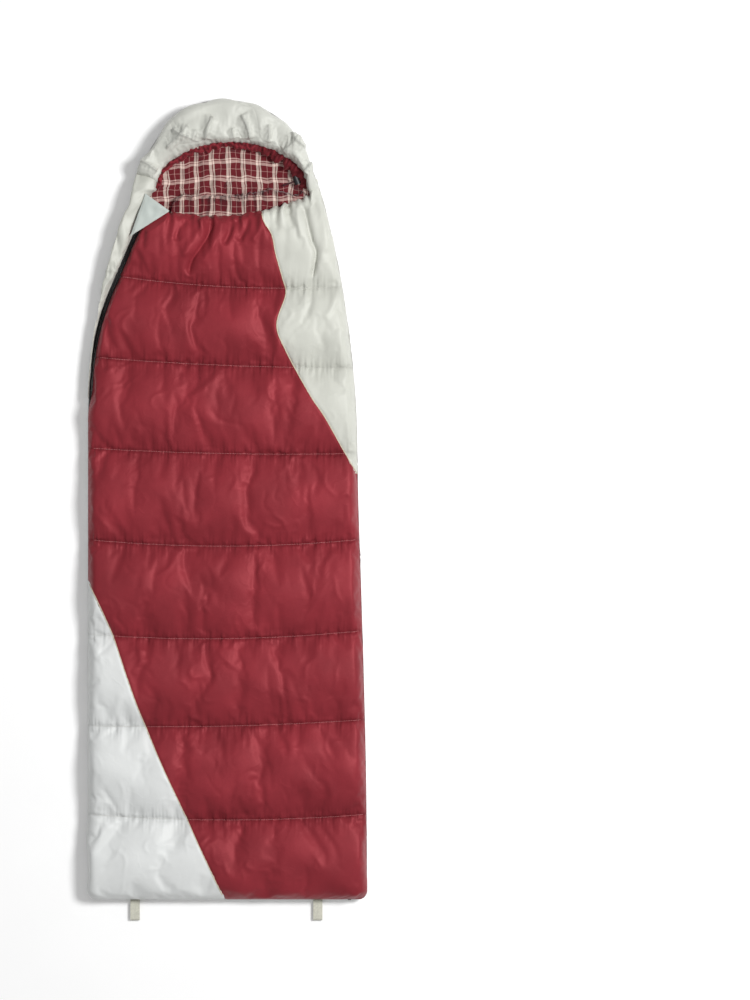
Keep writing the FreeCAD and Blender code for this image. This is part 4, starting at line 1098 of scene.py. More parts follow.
# ---------------------------------------------------------------- hood roll
HOOD_LEFT, HOOD_RIGHT = 926.0, 906.0  # where its outer edge ends on the left and on the right
ARCH_START = 0.035  # the hood's inner edge starts this share along the arch
HOOD_INSIDE, HOOD_CREST, HOOD_DROP = 46, 89, 11  # its inner edge, its crest, and less at its ends
HOOD_LENGTH = 700  # about its length along the arch
HOOD_CREASES = (  # plan points, width and depth
    (((-60, 1008), (-52, 1045), (-38, 1076)), 14, -9),
    (((62, 1010), (55, 1045), (38, 1080)), 14, -9),
    (((-166, 985), (-125, 1024), (-106, 1052)), 14, -9),
    (((-150, 1040), (-125, 1022), (-100, 1016)), 10, -7),
    (((-190, 925), (-218, 948), (-236, 955)), 12, -7),
    (((176, 1034), (190, 1010), (214, 990)), 13, -9),
    (((150, 978), (182, 1002), (194, 1024)), 12, -7),
    (((208, 925), (224, 938), (232, 955)), 10, -6),
    (((112, 1000), (116, 1030), (112, 1052)), 10, -5),
    (((-95, 1008), (-86, 1038)), 9, -5),
    (((18, 1014), (14, 1044)), 9, -5),
)


def hood_outer(share):
    """Points along the outline from the hood's left end to its right end."""
    rising, falling = edge_run[: top_number + 1], edge_run[top_number:]
    start = np.interp(HOOD_LEFT, rising.imag, np.arange(len(rising)))
    end = top_number + np.interp(-HOOD_RIGHT, -falling.imag, np.arange(len(falling)))
    lengths = lengths_along(edge_run)
    ends = np.interp([start, end], np.arange(len(edge_run)), lengths)
    return at_reach(edge_run, lengths, ends[0] + (ends[1] - ends[0]) * share)


def roll_section(turn_share, power):
    """Across and up, each 0 to 1, of a rounded roll standing on its two edges."""
    turn = math.pi * turn_share
    across = 0.5 - 0.5 * np.sign(np.cos(turn)) * np.abs(np.cos(turn)) ** power
    return across, np.abs(np.sin(turn)) ** power


def hood_sheet():
    """The hood's fabric: `s` along it from left to right, `t` over it from the opening outwards."""
    t, s = np.meshgrid(np.linspace(0, 1, 44), np.linspace(0, 1, 190))
    inner = arch(ARCH_START + (1 - ARCH_START) * s, -4.0)
    outer = hood_outer(s)
    across, up = roll_section(t, 2 / 2.5)
    ends = np.sqrt(np.clip(1 - np.clip(1 - np.minimum(s / 0.035, (1 - s) / 0.05), 0, 1) ** 2, 0, 1))
    crest = HOOD_CREST - HOOD_DROP * np.abs(2 * s - 1) ** 2
    base = HOOD_INSIDE + (RIM_FOOT - HOOD_INSIDE) * t
    plan = inner + (outer - inner) * across
    tuck = 26 * smooth(s, 0.95, 1)
    plan = plan + (0.38 - 0.93j) * tuck - 14 * bell(s, 0.13) * across * up
    z = base + (crest - base) * up * (0.45 + 0.55 * ends) - 0.45 * tuck * up
    points = grid(plan.real, plan.imag, z)
    along = s * HOOD_LENGTH
    height = 2.5 * field(along, t * 150, 31, 110) * up
    gathers = field(along, t * 12, 33, 19, count=20)
    height += 1.8 * gathers * np.exp(-t / 0.12) * smooth(t, 0, 0.05)
    height += 1.0 * field(along, t * 30, 34, 90) * np.exp(-(1 - t) / 0.3)
    add_folds(height, plan.real, plan.imag, HOOD_CREASES, 24, 0.15)
    return push(points, height * ends)


hood_points = hood_sheet()
hood = sheet_mesh("hood_fabric", hood_points)
as_cloth(hood, border(hood_points.shape[:2]), cap=12, pressure=2.6, growth=0.018, bending=0.5)


# ---------------------------------------------------------------- left rim
RIM_LOW, RIM_TOP = 306, 940
RIM_LINE, RIM_TUBE = (654,) * 3, 960  # its one quilt line, and where the tube above it ends


def rim_sheet():
    """The rim's fabric beside the zip, from the bag's edge over to the zip."""
    t, s = np.meshgrid(np.linspace(0, 1, 24), np.linspace(0, 1, 120))
    y = RIM_LOW + (RIM_TOP - RIM_LOW) * s
    outer = left_edge(y)
    mouth = arch(np.linspace(0, 0.2, 30), -6)
    zip_end, mouth_end = ZIP_TOP.imag, 872
    inner = zip_edge(np.minimum(y, zip_end), -CHANNEL)
    inner = np.where(y > zip_end, np.interp(y, [zip_end, mouth_end], [-219, -204]), inner)
    beside_mouth = np.maximum(inner, np.interp(y, mouth.imag, mouth.real))
    inner = np.where(y > mouth_end, beside_mouth, inner)
    inner = np.maximum(inner, outer + 1.0)
    across, up = roll_section(t, 2 / 2.8)
    share, gap = tube_share(outer, y, (RIM_LINE,), RIM_TUBE)
    crest = 48 + (18 + 8 * share) * smooth(inner - outer, 2, 34) - 16 * smooth(y, 890, 935)
    base = RIM_FOOT + (41 - RIM_FOOT) * t
    x = outer + (inner - outer) * across - 15 * smooth(y, 520, 700) * (1 - across) * up
    z = base + (crest - base) * up
    points = grid(x, y, z)[:, ::-1]
    height = 1.4 * field(x, y, 41, 40, 2.0) * up * smooth(inner - outer, 4, 30)
    return push(points, height[:, ::-1]), gap[:, ::-1]


rim_points, rim_gap = rim_sheet()
rim = sheet_mesh("rim_fabric", rim_points)
as_cloth(rim, quilt_pins(rim_gap, 4.0), cap=6)


# ---------------------------------------------------------------- lining inside
LINING_TOP, LINING_HEAD = 1014, 780  # its upper end, and where its rows get closer


def lining_sheet():
    """The plaid lining of the back, from the foot up under the hood."""
    body = np.linspace(FOOT + 12, LINING_HEAD, 170)
    heights = np.concatenate([body, np.linspace(LINING_HEAD, LINING_TOP, 60)[1:]])
    u, y = np.meshgrid(np.linspace(0, 1, 110), heights)
    edge = arch(np.linspace(0, 1, 240), -3)
    half = len(edge) // 2
    low = np.minimum(y, ZIP_TOP.imag)
    left = np.maximum(zip_edge(low, 8), left_edge(low) + 14)
    left = np.where(y > 820, np.interp(y, [820, 866, 884], [-204, -216, -200]), left)
    left = np.where(y > ARCH_BASE, np.interp(y, edge.imag[:half], edge.real[:half]), left)
    beside_mouth = np.interp(y, [840, ARCH_BASE], [right_edge(840.0) - 16, 218])
    right = np.where(y > 840, beside_mouth, right_edge(y) - 16)
    right = np.where(y > ARCH_BASE, np.interp(-y, -edge.imag[half:], edge.real[half:]), right)
    x = left + (right - left) * u
    gap = np.minimum(np.minimum(x - left, right - x), np.abs(LINING_TOP - y))
    head = smooth(y, 770, 900)
    z = 29 + 20 * np.clip(1 - gap / 60, 0, 1) ** 2 * head
    z += 1.6 * np.abs(field(x, y, 51, 70)) * (0.4 + 1.8 * head) * smooth(gap, 0, 15)
    return grid(x, y, z)


lining_points = lining_sheet()
lining = sheet_mesh("lining_back", lining_points)
as_cloth(lining, border(lining_points.shape[:2]), cap=7, pressure=0.4, bending=0.2)


WEAVE_SEED = 411


def woven_places(x, y, seed):
    """Where the weave's check lies once the cloth has shifted and bowed."""
    bow = 16 * smooth(y, 780, 960) * (1 - (x / 200) ** 2)
    across = x + 1.4 * field(x, y, seed, 130, 1.5, 16) + 0.8 * field(x, y, seed + 1, 34, 1.5, 16)
    along = y + 1.8 * field(x, y, seed + 2, 140, 1, 16) + 0.8 * field(x, y, seed + 3, 40, 1, 16)
    return grid(across, along - bow, 0 * x)


# ---------------------------------------------------------------- hem of the front's neck edge
HEM, HEM_LOW = 55.0, 44.0  # its width and its level


def gathered(length, over, seed, pitches, sizes, count):
    """Folds across a gathered edge, fine ones and wider ones."""
    fine = field(length, over * 6, seed, pitches[0], count=count) * sizes[0]
    return fine + field(length, over * 9, seed + 1, pitches[1], count=count) * sizes[1]


def hem_sheet():
    """The plaid hem above the neck edge, from under the red fabric, gathered by its elastic."""
    t, s = np.meshgrid(np.linspace(0, 1, 40), np.linspace(0, 1, 200))
    ends = [np.angle(point - NECK_CENTRE) for point in (NECK_LEFT, NECK_RIGHT)]
    turn = ends[0] + (ends[1] - ends[0]) * (0.01 + 0.955 * s)
    width = HEM * smooth(s, -0.1, 0.09) * (1 - 0.72 * smooth(s, 0.74, 0.96))
    length = s * abs(ends[1] - ends[0]) * NECK_RADIUS
    gathers = gathered(length, t, 401, (12, 23), (0.55, 0.6), 22)
    drawn = bell(t - 0.84, 0.1)
    reach = -5 + (width + 5) * t + 2.6 * field(length, 0 * t, 403, 16, count=20) * t**3
    plan = NECK_CENTRE + (NECK_RADIUS - reach) * np.exp(1j * turn)
    z = HEM_LOW + 5 * smooth(t, 0, 0.12) + 3.5 * drawn - 8 * smooth(t, 0.9, 1)
    z += gathers * (0.8 + 1.6 * t**1.5) * (1 - 0.4 * drawn)
    z += 2.4 * field(length * 1.3, t * 20, 404, 8, count=20) * drawn
    points = grid(plan.real, plan.imag, z)
    tuck = grid(plan.real, plan.imag, np.full(t.shape, HEM_LOW - 3.0))[:, -1:]
    shadow = np.clip(0.92 + 0.35 * gathers - 0.2 * drawn, 0, 1)
    return np.concatenate([points, tuck], axis=1), np.append(shadow, shadow[:, -1:], axis=1)


def make_hem():
    points, shadow = hem_sheet()
    made = sheet_mesh("neck_hem", points)
    store(made, "depth", shadow.ravel())
    woven = woven_places(points[..., 0].ravel(), points[..., 1].ravel(), WEAVE_SEED)
    store(made, "weave", woven * MM)
    subdivide(made)
    return made


hem = make_hem()


# ---------------------------------------------------------------- gathered edges
RING_PITCH = 2.2


def ruffled_tube(name, path, level, width, height, seed, depth, bunched_shade=0.0):
    """A gathered fabric tunnel along plan points: its section swells and shrinks from fold to fold.

    `width` gives its width for shares along it, `depth` is how much it swells, and the last one
    how much painted shade darkens it where it is bunched up at its far end.
    """
    lengths = lengths_along(path)
    reach = np.linspace(0, lengths[-1], int(lengths[-1] / RING_PITCH))
    plan = at_reach(path, lengths, reach)
    along = np.gradient(plan)
    out = -1j * along / np.abs(along)
    turn, s = np.meshgrid(np.linspace(0, 2 * math.pi, 16, endpoint=False), reach)
    gathers = gathered(s, turn, seed, (11, 19), (0.6, 0.6), 20)
    girth = width(s / lengths[-1])
    swell = 1 + depth * gathers
    nearest_end = np.minimum(s, lengths[-1] - s)
    closing = np.sqrt(np.clip(1 - np.clip(1 - nearest_end / (girth / 2), 0, 1) ** 2, 0.01, 1))
    side = girth / 2 * np.cos(turn) * swell * closing
    up = height / 2 * np.sin(turn) * swell * closing
    drift = 0.12 * girth * field(s, s * 0, seed + 2, 34, count=16)
    where = plan[:, None] + out[:, None] * (side + drift)
    points = grid(where.real, where.imag, level + up + 0 * s)
    tube = sheet_mesh(name, points, closed=True)
    # Painted shade: darker between the gathers, and darker still over the bunched far end.
    shadow = 1 - bunched_shade * smooth(s / lengths[-1], 0.55, 0.85)
    store(tube, "depth", (np.clip(0.6 + 0.7 * gathers, 0, 1) * shadow).ravel())
    store(tube, "weave", points.reshape(-1, 3) * MM)
    subdivide(tube)
    return tube


def casing_width(share):
    """The hood's gathered edge is bunched up towards the cord lock."""
    return 13 + 7 * smooth(share, 0.12, 0.35) + 12 * smooth(share, 0.55, 0.75)


casing = ruffled_tube(
    "hood_casing_ruffle", arch(np.linspace(0, 1, 200), -9.5),
    level=45, width=casing_width, height=21, seed=61, depth=0.24, bunched_shade=0.75,
)  # fmt: skip


LEFT_CORNER = complex(SIDE_X + CORNER - ZIP_INSET, FOOT + CORNER)  # centre of the foot's corner


def side_path(inside):
    """The zip's line round the side and the foot, moved `inside` the bag."""
    turn = np.linspace(math.pi, 1.5 * math.pi, 9)
    centre, radius = LEFT_CORNER, CORNER - ZIP_INSET - inside
    start, end = complex(SIDE_X + inside, BEND_END.imag), complex(340, FOOT + ZIP_INSET + inside)
    return np.concatenate([[start], centre + radius * np.exp(1j * turn), [end]])


def draught_width(share):
    return 20 + 0 * share


draught = ruffled_tube(
    "draught_roll", side_path(22.0),
    level=33.3, width=draught_width, height=10.4, seed=301, depth=0.06,
)  # fmt: skip


# ---------------------------------------------------------------- linings of front and side fold
FOLD_HEAD, FOLD_FOOT = NECK_RIGHT, complex(HALF, FOOT)


def crease_x(y):
    share = (FOLD_HEAD.imag - y) / (FOLD_HEAD.imag - FOLD_FOOT.imag)
    return FOLD_HEAD.real + (FOLD_FOOT.real - FOLD_HEAD.real) * share


def wall_share(y):
    """The linings that stand along the crease get lower where it nears the bag's edge."""
    return smooth(right_edge(y) - crease_x(y), 8, 32)


def front_lining_sheet():
    """The quilted plaid under the front, which turns up along the crease on its right."""
    u, y_row = np.meshgrid(np.linspace(0, 1, 84), np.linspace(FOOT + 5, TOP_ROW, 230))
    wall = np.clip((u - 0.93) / 0.07, 0, 1)

    def sides(y):
        return front_left(y, 9, CHANNEL + 2), np.minimum(crease_x(y) - 1.5, right_edge(y) - 5)

    def neck(x):
        return np.minimum(neck_edge(x), 864)

    x, y, left, right = bent_rows(y_row, np.clip(u / 0.93, 0, 1), sides, neck, TOP_ROW + 2)
    share, _ = tube_share(x, y, FRONT_LINES)
    gap = np.minimum(x - left, y - FOOT)
    z = 42.8 - 2.8 * share**0.6 + 0.5 * field(x, y, 311, 60)
    z = 40.5 + (np.clip(z, 39.6, 44) - 40.5) * smooth(gap, 0, 25)
    rise = (SEAM_LEVEL - 48 + (CROWN - SEAM_LEVEL) * share**0.6) * wall_share(y)
    return grid(x, y, z + rise * wall * smooth(right - left, 0, 60))


def side_wall():
    """The lining of the side fold, which stands along the crease opposite the front's."""
    up, y = np.meshgrid(np.linspace(0, 1, 14), np.linspace(-940, 864, 300))
    share, _ = tube_share(crease_x(y), y, FRONT_LINES)
    rise = (SEAM_LEVEL - 38 + (CROWN - SEAM_LEVEL) * share**0.6) * wall_share(y)
    return grid(crease_x(y) + 1.2 + 0 * up, y + 0 * up, 30 + rise * up)


def lined(name, points, seed):
    made = sheet_mesh(name, points)
    x, y = points[..., 0].ravel(), points[..., 1].ravel() + points[..., 2].ravel()
    store(made, "weave", woven_places(x, y, seed) * MM)
    store(made, "depth", np.ones(x.shape))
    return made


front_inside = lined("lining_front", front_lining_sheet(), 421)
side_inside = lined("lining_side", side_wall(), 431)


# ---------------------------------------------------------------- neck tab
def tab_piece():
    """Two layers of fabric, from the sewn left edge to the free corner on the right."""
    round_it = np.linspace(0, 2, 60, endpoint=False)
    v, loop = np.meshgrid(np.linspace(0, 1, 26), round_it, indexing="ij")
    u = np.where(loop < 1, loop, 2 - loop)
    over = np.where(loop < 1, 1.0, 0.0)
    u_soft = 0.5 - 0.5 * np.cos(math.pi * u)
    v_soft = 0.97 * (1 - (1 - v) ** 1.4)
    plan = (TAB_TOP + (TAB_FOOT - TAB_TOP) * u_soft) * (1 - v_soft) + TAB_RIGHT * v_soft
    edge = np.clip(-outside_tab(plan.real, plan.imag) / 5, 0, 1)
    thick = 0.5 + 2.6 * np.sqrt(edge)
    wave = 0.7 * field(plan.real, plan.imag, 441, 34) + 1.2 * swirl(plan.real, plan.imag, 442, 40)
    seam = np.exp(-(((v * abs(TAB_RIGHT - TAB_TOP)) - TAB_SEAM) ** 2) / 3)
    z = TAB_LEVEL + 0.1 + over * (thick + wave * edge - 0.8 * seam) + (1 - over) * 0.2
    return sheet_mesh("tab_fabric", grid(plan.real, plan.imag, z), closed=True)


tab = tab_piece()

simulate()


# ---------------------------------------------------------------- finish of the soft pieces
def under_tab(obj, level):
    """Presses a fabric down where the neck tab lies on it."""
    found = places(obj)
    x, y = found[:, 0] / MM, found[:, 1] / MM
    cap = level + 0.8 * np.maximum(outside_tab(x, y), 0)
    found[:, 2] = np.minimum(found[:, 2], cap * MM)
    set_places(obj, found)


FOLDS_PER_TUBE = 26


def rest_plan(obj):
    """x and y of each point before the cloth moved."""
    rest = rest_places(obj)
    return rest[:, 0], rest[:, 1]


def quilted_finish(obj, lines, seed, top, inner):
    """Puckers along the quilt lines, the lines themselves and the curling creases between them.

    `top` is where the uppermost tube ends, and `inner` how much of all this there is.
    """
    x, y = rest_plan(obj)
    _, gap = tube_share(x, y, lines, top)
    height = 1.3 * line_puckers(x, y, gap, seed) - 2.0 * bell(gap, 3.0)
    below = (*lines, (FOOT - 20,) * 3)
    height += loose_folds(x, y, below, seed + 3, FOLDS_PER_TUBE) * smooth(gap, 2, 30)
    push_mesh(obj, height * inner)
    # Painted shade: darker right beside each quilt line, and a little darker over a wider band, so
    # that the middles of the tubes look lighter.
    shaded = 1 - 0.4 * np.exp(-gap / 3.5) - 0.18 * np.exp(-gap / 40)
    store(obj, "depth", shaded)


SHARP_FOLDS = (  # plan points, width and depth of the sharp grooves below the face opening
    (((207, 837), (220, 782), (231, 736), (242, 708), (240, 681), (231, 626)), 3.5, -3.0),
    (((-34, 782), (-62, 735), (-97, 681), (-104, 640)), 3.5, -3.0),
)
EDGE_SEAM = 15.0  # from the bag's right edge to the seam that runs along it


CORNER_OUT, CORNER_REACH = 9, 34.0


def sharpen_corners(obj):
    """Draws the foot's two corners out, which the CAD rounds."""
    found = places(obj) / MM
    level = FOOT + 60.0
    for edge, way in ((float(left_edge(level)), -1), (float(right_edge(level)), 1)):
        gap_squared = (found[:, 0] - edge) ** 2 + (found[:, 1] - FOOT) ** 2
        out = CORNER_OUT * np.exp(-(gap_squared / CORNER_REACH**2))
        across = way * found[:, 0]
        found[:, 0] = way * np.minimum(across + out, np.maximum(across, way * edge + 1))
        found[:, 1] = np.maximum(found[:, 1] - out, np.minimum(found[:, 1], FOOT))
    set_places(obj, found * MM)


def finish_front():
    """Quilting, seams, and the gathers and scallops under the neck edge."""
    x, y = rest_plan(front)
    below = neck_edge(x) - y
    inner = smooth(np.minimum(right_edge(y) - x, x - left_edge(y)), 2, 22) * smooth(below, 0, 14)
    quilted_finish(front, FRONT_LINES, 81, FRONT_TOP, inner)
    grooves = np.zeros(x.shape)
    add_folds(grooves, x, y, SHARP_FOLDS, 40, 0.12)
    edge_seam = [(right_edge(level) - EDGE_SEAM, level) for level in np.linspace(690, 250, 12)]
    add_folds(grooves, x, y, ((edge_seam, 2.2, -1.8),), 40, 0.08)
    for seam in (right_seam, left_seam):
        add_fold(grooves, x, y, seam, 3.0, -2.0, 0.01)
    gathers = field(x, y * 0.12, 84, 15, count=24) * np.exp(-below / 26) * smooth(below, 0, 5)
    push_mesh(front, grooves * inner + 2.6 * gathers)
    found = places(front)
    scallop = 2.2 * field(x, 0 * x, 85, 20, count=20) * (1 - smooth(below, 0, 16))
    found[:, 1] += scallop * MM * smooth(right_edge(y) - x, 4, 40)
    set_places(front, found)
    sharpen_corners(front)
    under_tab(front, TAB_LEVEL - 3.0)


finish_front()
quilted_finish(rim, (RIM_LINE,), 131, RIM_TUBE, 0.6)
under_tab(rim, TAB_LEVEL - 4.2)
quilted_finish(back, BACK_LINES, 91, BACK_TOP, 0.6)
sharpen_corners(back)


def finish_hood():
    """Sharpens each crease's middle, with puckers beside it."""
    x, y = rest_plan(hood)
    grooves = np.zeros(x.shape)
    for path, width, depth in HOOD_CREASES:
        line = rounded_path(complex_points(path), 24)
        add_fold(grooves, x, y, line, 0.26 * width, 0.4 * depth, 0.12)
        gap, along = gap_to(x, y, line)
        ends = smooth(along, 0, 0.1) * (1 - smooth(along, 0.9, 1))
        beside = np.exp(-gap / 16) * smooth(gap, 1, 5) * ends
        grooves += 0.7 * beside * field(x, y, 151, 13, 1, 20)
    grooves += 1.2 * swirl(x, y, 153, 110, 1.0)
    push_mesh(hood, grooves * smooth(rest_places(hood)[:, 2], 34, 52))
    # Painted shade, darker along the creases' grooves.
    store(hood, "depth", 1 - np.clip(-grooves, 0, 3.5) / 6)


def finish_lining():
    x, y = rest_plan(lining)
    creases = 3.0 * swirl(x, y, 161, 80, 1.2) * smooth(y, 760, 850)
    push_mesh(lining, creases)
    store(lining, "weave", woven_places(x, y, WEAVE_SEED) * MM)
    # Painted shade, darker in the creases.
    store(lining, "depth", 1 - np.clip(-creases, 0, 3) / 6)


finish_hood()
finish_lining()


# ---------------------------------------------------------------- threads, piping and zip teeth
EDGE_MARGIN, BACK_MARGIN, RIM_MARGIN = (16, 12), 24, 8  # from the edges to the threads' ends


def quilt_path(line, left, right):
    """Plan points along a quilt line."""
    x = np.linspace(left, right, 160)
    return x + 1j * quilt_line(line, x)


front_tree = surface_of(front)
red_paths, pale_paths = [], []
for line in FRONT_LINES:
    middle = line[1]
    left, right = left_edge(middle) + EDGE_MARGIN[0], right_edge(middle) - EDGE_MARGIN[1]
    if middle > ZIP_LEAVES[0]:
        left = float(zip_edge(middle, CHANNEL)) + EDGE_MARGIN[0]
    path = quilt_path(line, left, right)
    beyond_right = path.real > seam_x(right_seam, path.imag)
    beyond_left = path.real < seam_x(left_seam, path.imag)
    red_paths.append(path[~(beyond_right | beyond_left)])
    pale_paths += [path[beyond] for beyond in (beyond_right, beyond_left) if beyond.sum() > 4]
red_thread = stitched("red_thread", red_paths, front_tree)
pale_thread = stitched("pale_thread", pale_paths, front_tree)
back_paths = [
    quilt_path(line, left_edge(line[1]) + BACK_MARGIN, right_edge(line[1]) - BACK_MARGIN)
    for line in BACK_LINES
]
back_thread = stitched("back_thread", back_paths, surface_of(back), way=1)
rim_height = float(RIM_LINE[0])
rim_ends = left_edge(rim_height) + RIM_MARGIN, float(zip_edge(rim_height, -CHANNEL)) - RIM_MARGIN
rim_path = quilt_path(RIM_LINE, *rim_ends)
tab_seam = TAB_TOP + (TAB_FOOT - TAB_TOP) * np.linspace(0.06, 0.93, 60) + TAB_SEAM * np.exp(-0.3j)
tab_thread = stitched("tab_thread", [tab_seam], surface_of(tab), stitch=2.6, pitch=3.8, radius=0.4)
rim_thread = stitched("rim_thread", [rim_path], surface_of(rim))


def piping(name, seam, low, high):
    inside = (seam.imag > low) & (seam.imag < high)
    spots, normals = laid_on(front_tree, evenly(seam[inside], 3.0))
    return tube_along(name, spots + normals * 0.4, normals, 1.25)


right_piping = piping("right_piping", right_seam, 60, 812)
left_piping = piping("left_piping", left_seam, FOOT + 6, -196)


ZIP_END = 348  # x of its end at the foot
FIRST_TOOTH, LAST_TOOTH = 16.0, 14  # how far the teeth stop short of the line's ends


def zip_line(step):
    """Points along the zip, with the directions across it, towards the front, and out of it."""
    neck = np.linspace(0, abs(ZIP_BEND - ZIP_TOP), 60)
    turn = np.linspace(math.pi - BEND_ANGLE, math.pi, 120)
    corner = np.linspace(math.pi, 1.5 * math.pi, 40)
    plan = np.concatenate([
        ZIP_TOP + neck_run * neck,
        (BEND_CENTRE + BEND_RADIUS * np.exp(1j * turn))[1:],
        LEFT_CORNER + (CORNER - ZIP_INSET) * np.exp(1j * corner),
        [complex(ZIP_END, FOOT + ZIP_INSET)],
    ])
    twist = np.concatenate([np.zeros(60), np.linspace(0, 1, 120)[1:], np.ones(41)])
    lengths = lengths_along(plan)
    reach = np.arange(FIRST_TOOTH, lengths[-1] - LAST_TOOTH, step)
    plan = at_reach(plan, lengths, reach)
    twist = np.interp(reach, lengths, twist)
    inward = 1j * np.gradient(plan)
    inward /= np.abs(inward)
    angle = twist * math.pi / 2
    level = grid(inward.real, inward.imag, 0 * twist)
    upward = np.array([0, 0, 1.0])
    across = level * np.cos(angle)[:, None] + upward * np.sin(angle)[:, None]
    outward = upward * np.cos(angle)[:, None] - level * np.sin(angle)[:, None]
    middle = grid(plan.real, plan.imag, ZIP_HIGH + (ZIP_LOW - ZIP_HIGH) * twist)
    return middle, across, outward


def zip_teeth(name, side, first):
    """One row of teeth, every second one along the zip from `first`, which reach to one side."""
    spots, wide, out_of = middle[first::2], across[first::2] * side, outward[first::2]
    crown = out_of * 0.7
    return rods(name, spots - wide * 0.9 + crown, spots + wide * 2.9 + crown, out_of, TOOTH_RADIUS)


TOOTH_PITCH, TOOTH_RADIUS = 1.3, 0.72
middle, across, outward = zip_line(TOOTH_PITCH)
front_teeth = zip_teeth("front_zip_teeth", 1, 0)
back_teeth = zip_teeth("back_zip_teeth", -1, 1)
front_red, front_side, front_foot = panels_of(
    front, ("front_panel_red", "front_panel_side", "front_panel_foot")
)


# ---------------------------------------------------------------- the lock's spring
SPRING_WIRE, SPRING_TURNS = 0.45, 5


def lock_spring():
    """The cord lock's spring: a coil of wire along the button's axis, where the CAD's spring is."""
    press = next(joint for joint in frame["joints"] if joint["name"] == "cord_lock_press")
    axis = np.array(press["axis"])
    solid = np.array([tuple(vertex.co) for vertex in NODES["cord_lock_spring"].data.vertices]) / MM
    reach = solid @ axis
    length, radius = np.ptp(reach) - 2 * SPRING_WIRE, np.ptp(solid[:, 2]) / 2 - SPRING_WIRE
    middle = (solid.min(axis=0) + solid.max(axis=0)) / 2
    across = np.cross([0.0, 0.0, 1.0], axis)
    turn = np.linspace(0, 2 * math.pi * SPRING_TURNS, 24 * SPRING_TURNS)
    out = np.cos(turn)[:, None] * across + np.sin(turn)[:, None] * np.array([0.0, 0.0, 1.0])
    along = (turn / turn[-1] - 0.5)[:, None] * length * axis
    made = tube_along("lock_spring", middle + along + radius * out, out, SPRING_WIRE)
    dress(made, SPRING_STEEL, "spring_steel", "cord_lock", "cord_lock_spring")
    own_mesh(made)


def fold_with_front(piece):
    """Bakes the piece's transform into its mesh."""
    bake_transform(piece)  # fmt: skip


dress(
    front_red, RED_FABRIC, "red_fabric", None,
    "front_shell_red", "front_insulation", "side_shell_red",
)  # fmt: skip
dress(front_side, PALE_FABRIC, "pale_fabric", None, "front_shell_side", "side_shell_pale")
dress(front_foot, FOOT_FABRIC, "pale_fabric", "front", "front_shell_foot")
dress(red_thread, THREAD, "red_fabric", None)
dress(pale_thread, PALE_THREAD, "pale_fabric", None)
dress(right_piping, PIPING, "pale_fabric", None)
dress(left_piping, PIPING, "pale_fabric", "front")
for piece in (front_red, front_side, red_thread, pale_thread, right_piping):
    fold_with_front(piece)
dress(back, BACK_FABRIC, "back_fabric", "root", "back_shell", "back_insulation")
dress(back_thread, PALE_THREAD, "back_fabric", "root")
dress(hood, HOOD_FABRIC, "pale_fabric", "root", "hood_shell", "hood_insulation", "hood_lining")
dress(rim, PALE_FABRIC, "pale_fabric", "root", "rim_shell", "rim_insulation")
dress(rim_thread, PALE_THREAD, "pale_fabric", "root")
dress(lining, PLAID, "plaid_lining", "root", "back_lining")
dress(side_inside, PLAID, "plaid_lining", "root", "side_insulation")
dress(front_inside, PLAID, "plaid_lining", "front", "front_lining")
dress(draught, PLAID, "plaid_lining", "front", "draught_tube")
dress(hem, PLAID, "plaid_lining", "front", "neck_casing", "neck_elastic")
dress(casing, CASING_FABRIC, "red_casing", "root", "hood_casing")
lock_spring()
dress(cord_run, CORD_BRAID, "cord", "root", "hood_drawcord")
dress(cord_tail, CORD_BRAID, "cord", "root", "hood_drawcord")
dress(cord_knot, CORD_BRAID, "cord", "root")
dress(tab, TAB_FABRIC, "pale_fabric", "neck_tab", "neck_tab")
dress(tab_thread, PALE_THREAD, "pale_fabric", "neck_tab")
dress(front_teeth, ZIP_COIL, "zip_coil", "front", "front_zip_coil")
dress(back_teeth, ZIP_COIL, "zip_coil", "root", "back_zip_coil")

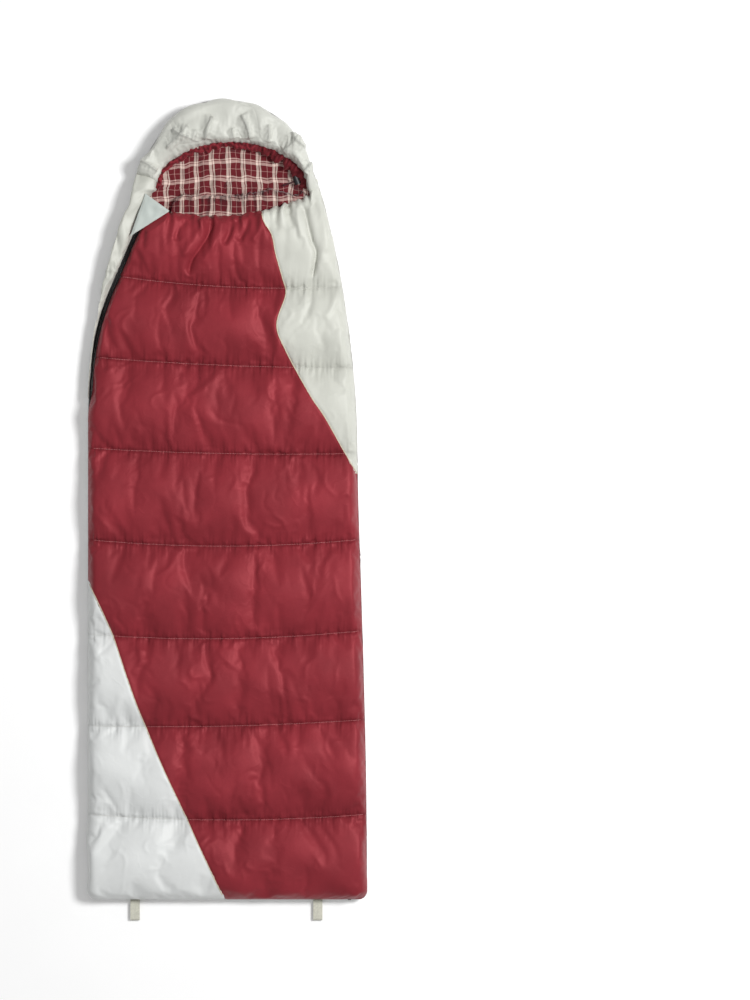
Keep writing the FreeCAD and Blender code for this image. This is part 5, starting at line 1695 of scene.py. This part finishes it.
NODE_MATERIALS = (
    (TOUCH_TAPE, ("rim_loop_patch", "tab_hook_patch")),
    (ZIP_TAPE, ("back_zip_tape", "front_zip_tape")),
    (SLIDER_METAL, ("upper_slider", "upper_pull", "lower_slider", "lower_pull")),
    (WEBBING, ("left_loop_anchor", "right_loop_anchor", "left_hang_loop", "right_hang_loop")),
    (LOCK_PLASTIC, ("cord_lock_barrel", "cord_lock_button")),
)
for material, names in NODE_MATERIALS:
    for name in names:
        paint(NODES[name], material)


# ---------------------------------------------------------------- floor and background
FLOOR_REACH, FLOOR_LEVEL, FLOOR_GLOW = 12.0, -0.001, 0.06
WORLD_LIGHT = 0.33


def make_floor():
    """A wide pale floor, a little brighter to the camera so that it is white."""
    corners = [(-1, -1), (1, -1), (1, 1), (-1, 1)]
    places_in_metres = [(x * FLOOR_REACH, y * FLOOR_REACH, FLOOR_LEVEL) for x, y in corners]
    floor = new_piece("floor", np.array(places_in_metres), [(0, 1, 2, 3)])
    n = Nodes("floor_paper", 0.9, 0.1)
    pale = ((0.3, (0.95, 0.95, 0.95, 1)), (0.7, (0.97, 0.97, 0.97, 1)))
    n.set(n.shader.inputs["Base Color"], n.ramp(n.noise(n.own_place(), 3.0), pale))
    rays = n.tree.nodes.new("ShaderNodeLightPath")
    n.shader.inputs["Emission Color"].default_value = (1, 1, 1, 1)
    glow = n.maths("MULTIPLY", rays.outputs["Is Camera Ray"], FLOOR_GLOW)
    n.set(n.shader.inputs["Emission Strength"], glow)
    paint(floor, n.material)


def make_world():
    """Soft light from all round, which the camera sees as white."""
    world = bpy.data.worlds.new("World")
    bpy.context.scene.world = world
    world.use_nodes = True
    background = world.node_tree.nodes["Background"]
    background.inputs["Color"].default_value = (1, 1, 1, 1)
    seen = world.node_tree.nodes.new("ShaderNodeLightPath")
    brightness = world.node_tree.nodes.new("ShaderNodeMath")
    brightness.operation = "MULTIPLY_ADD"
    world.node_tree.links.new(seen.outputs["Is Camera Ray"], brightness.inputs[0])
    brightness.inputs[1].default_value = 1 - WORLD_LIGHT
    brightness.inputs[2].default_value = WORLD_LIGHT
    world.node_tree.links.new(brightness.outputs[0], background.inputs["Strength"])


make_floor()
make_world()
bpy.context.scene.view_settings.view_transform = "Standard"
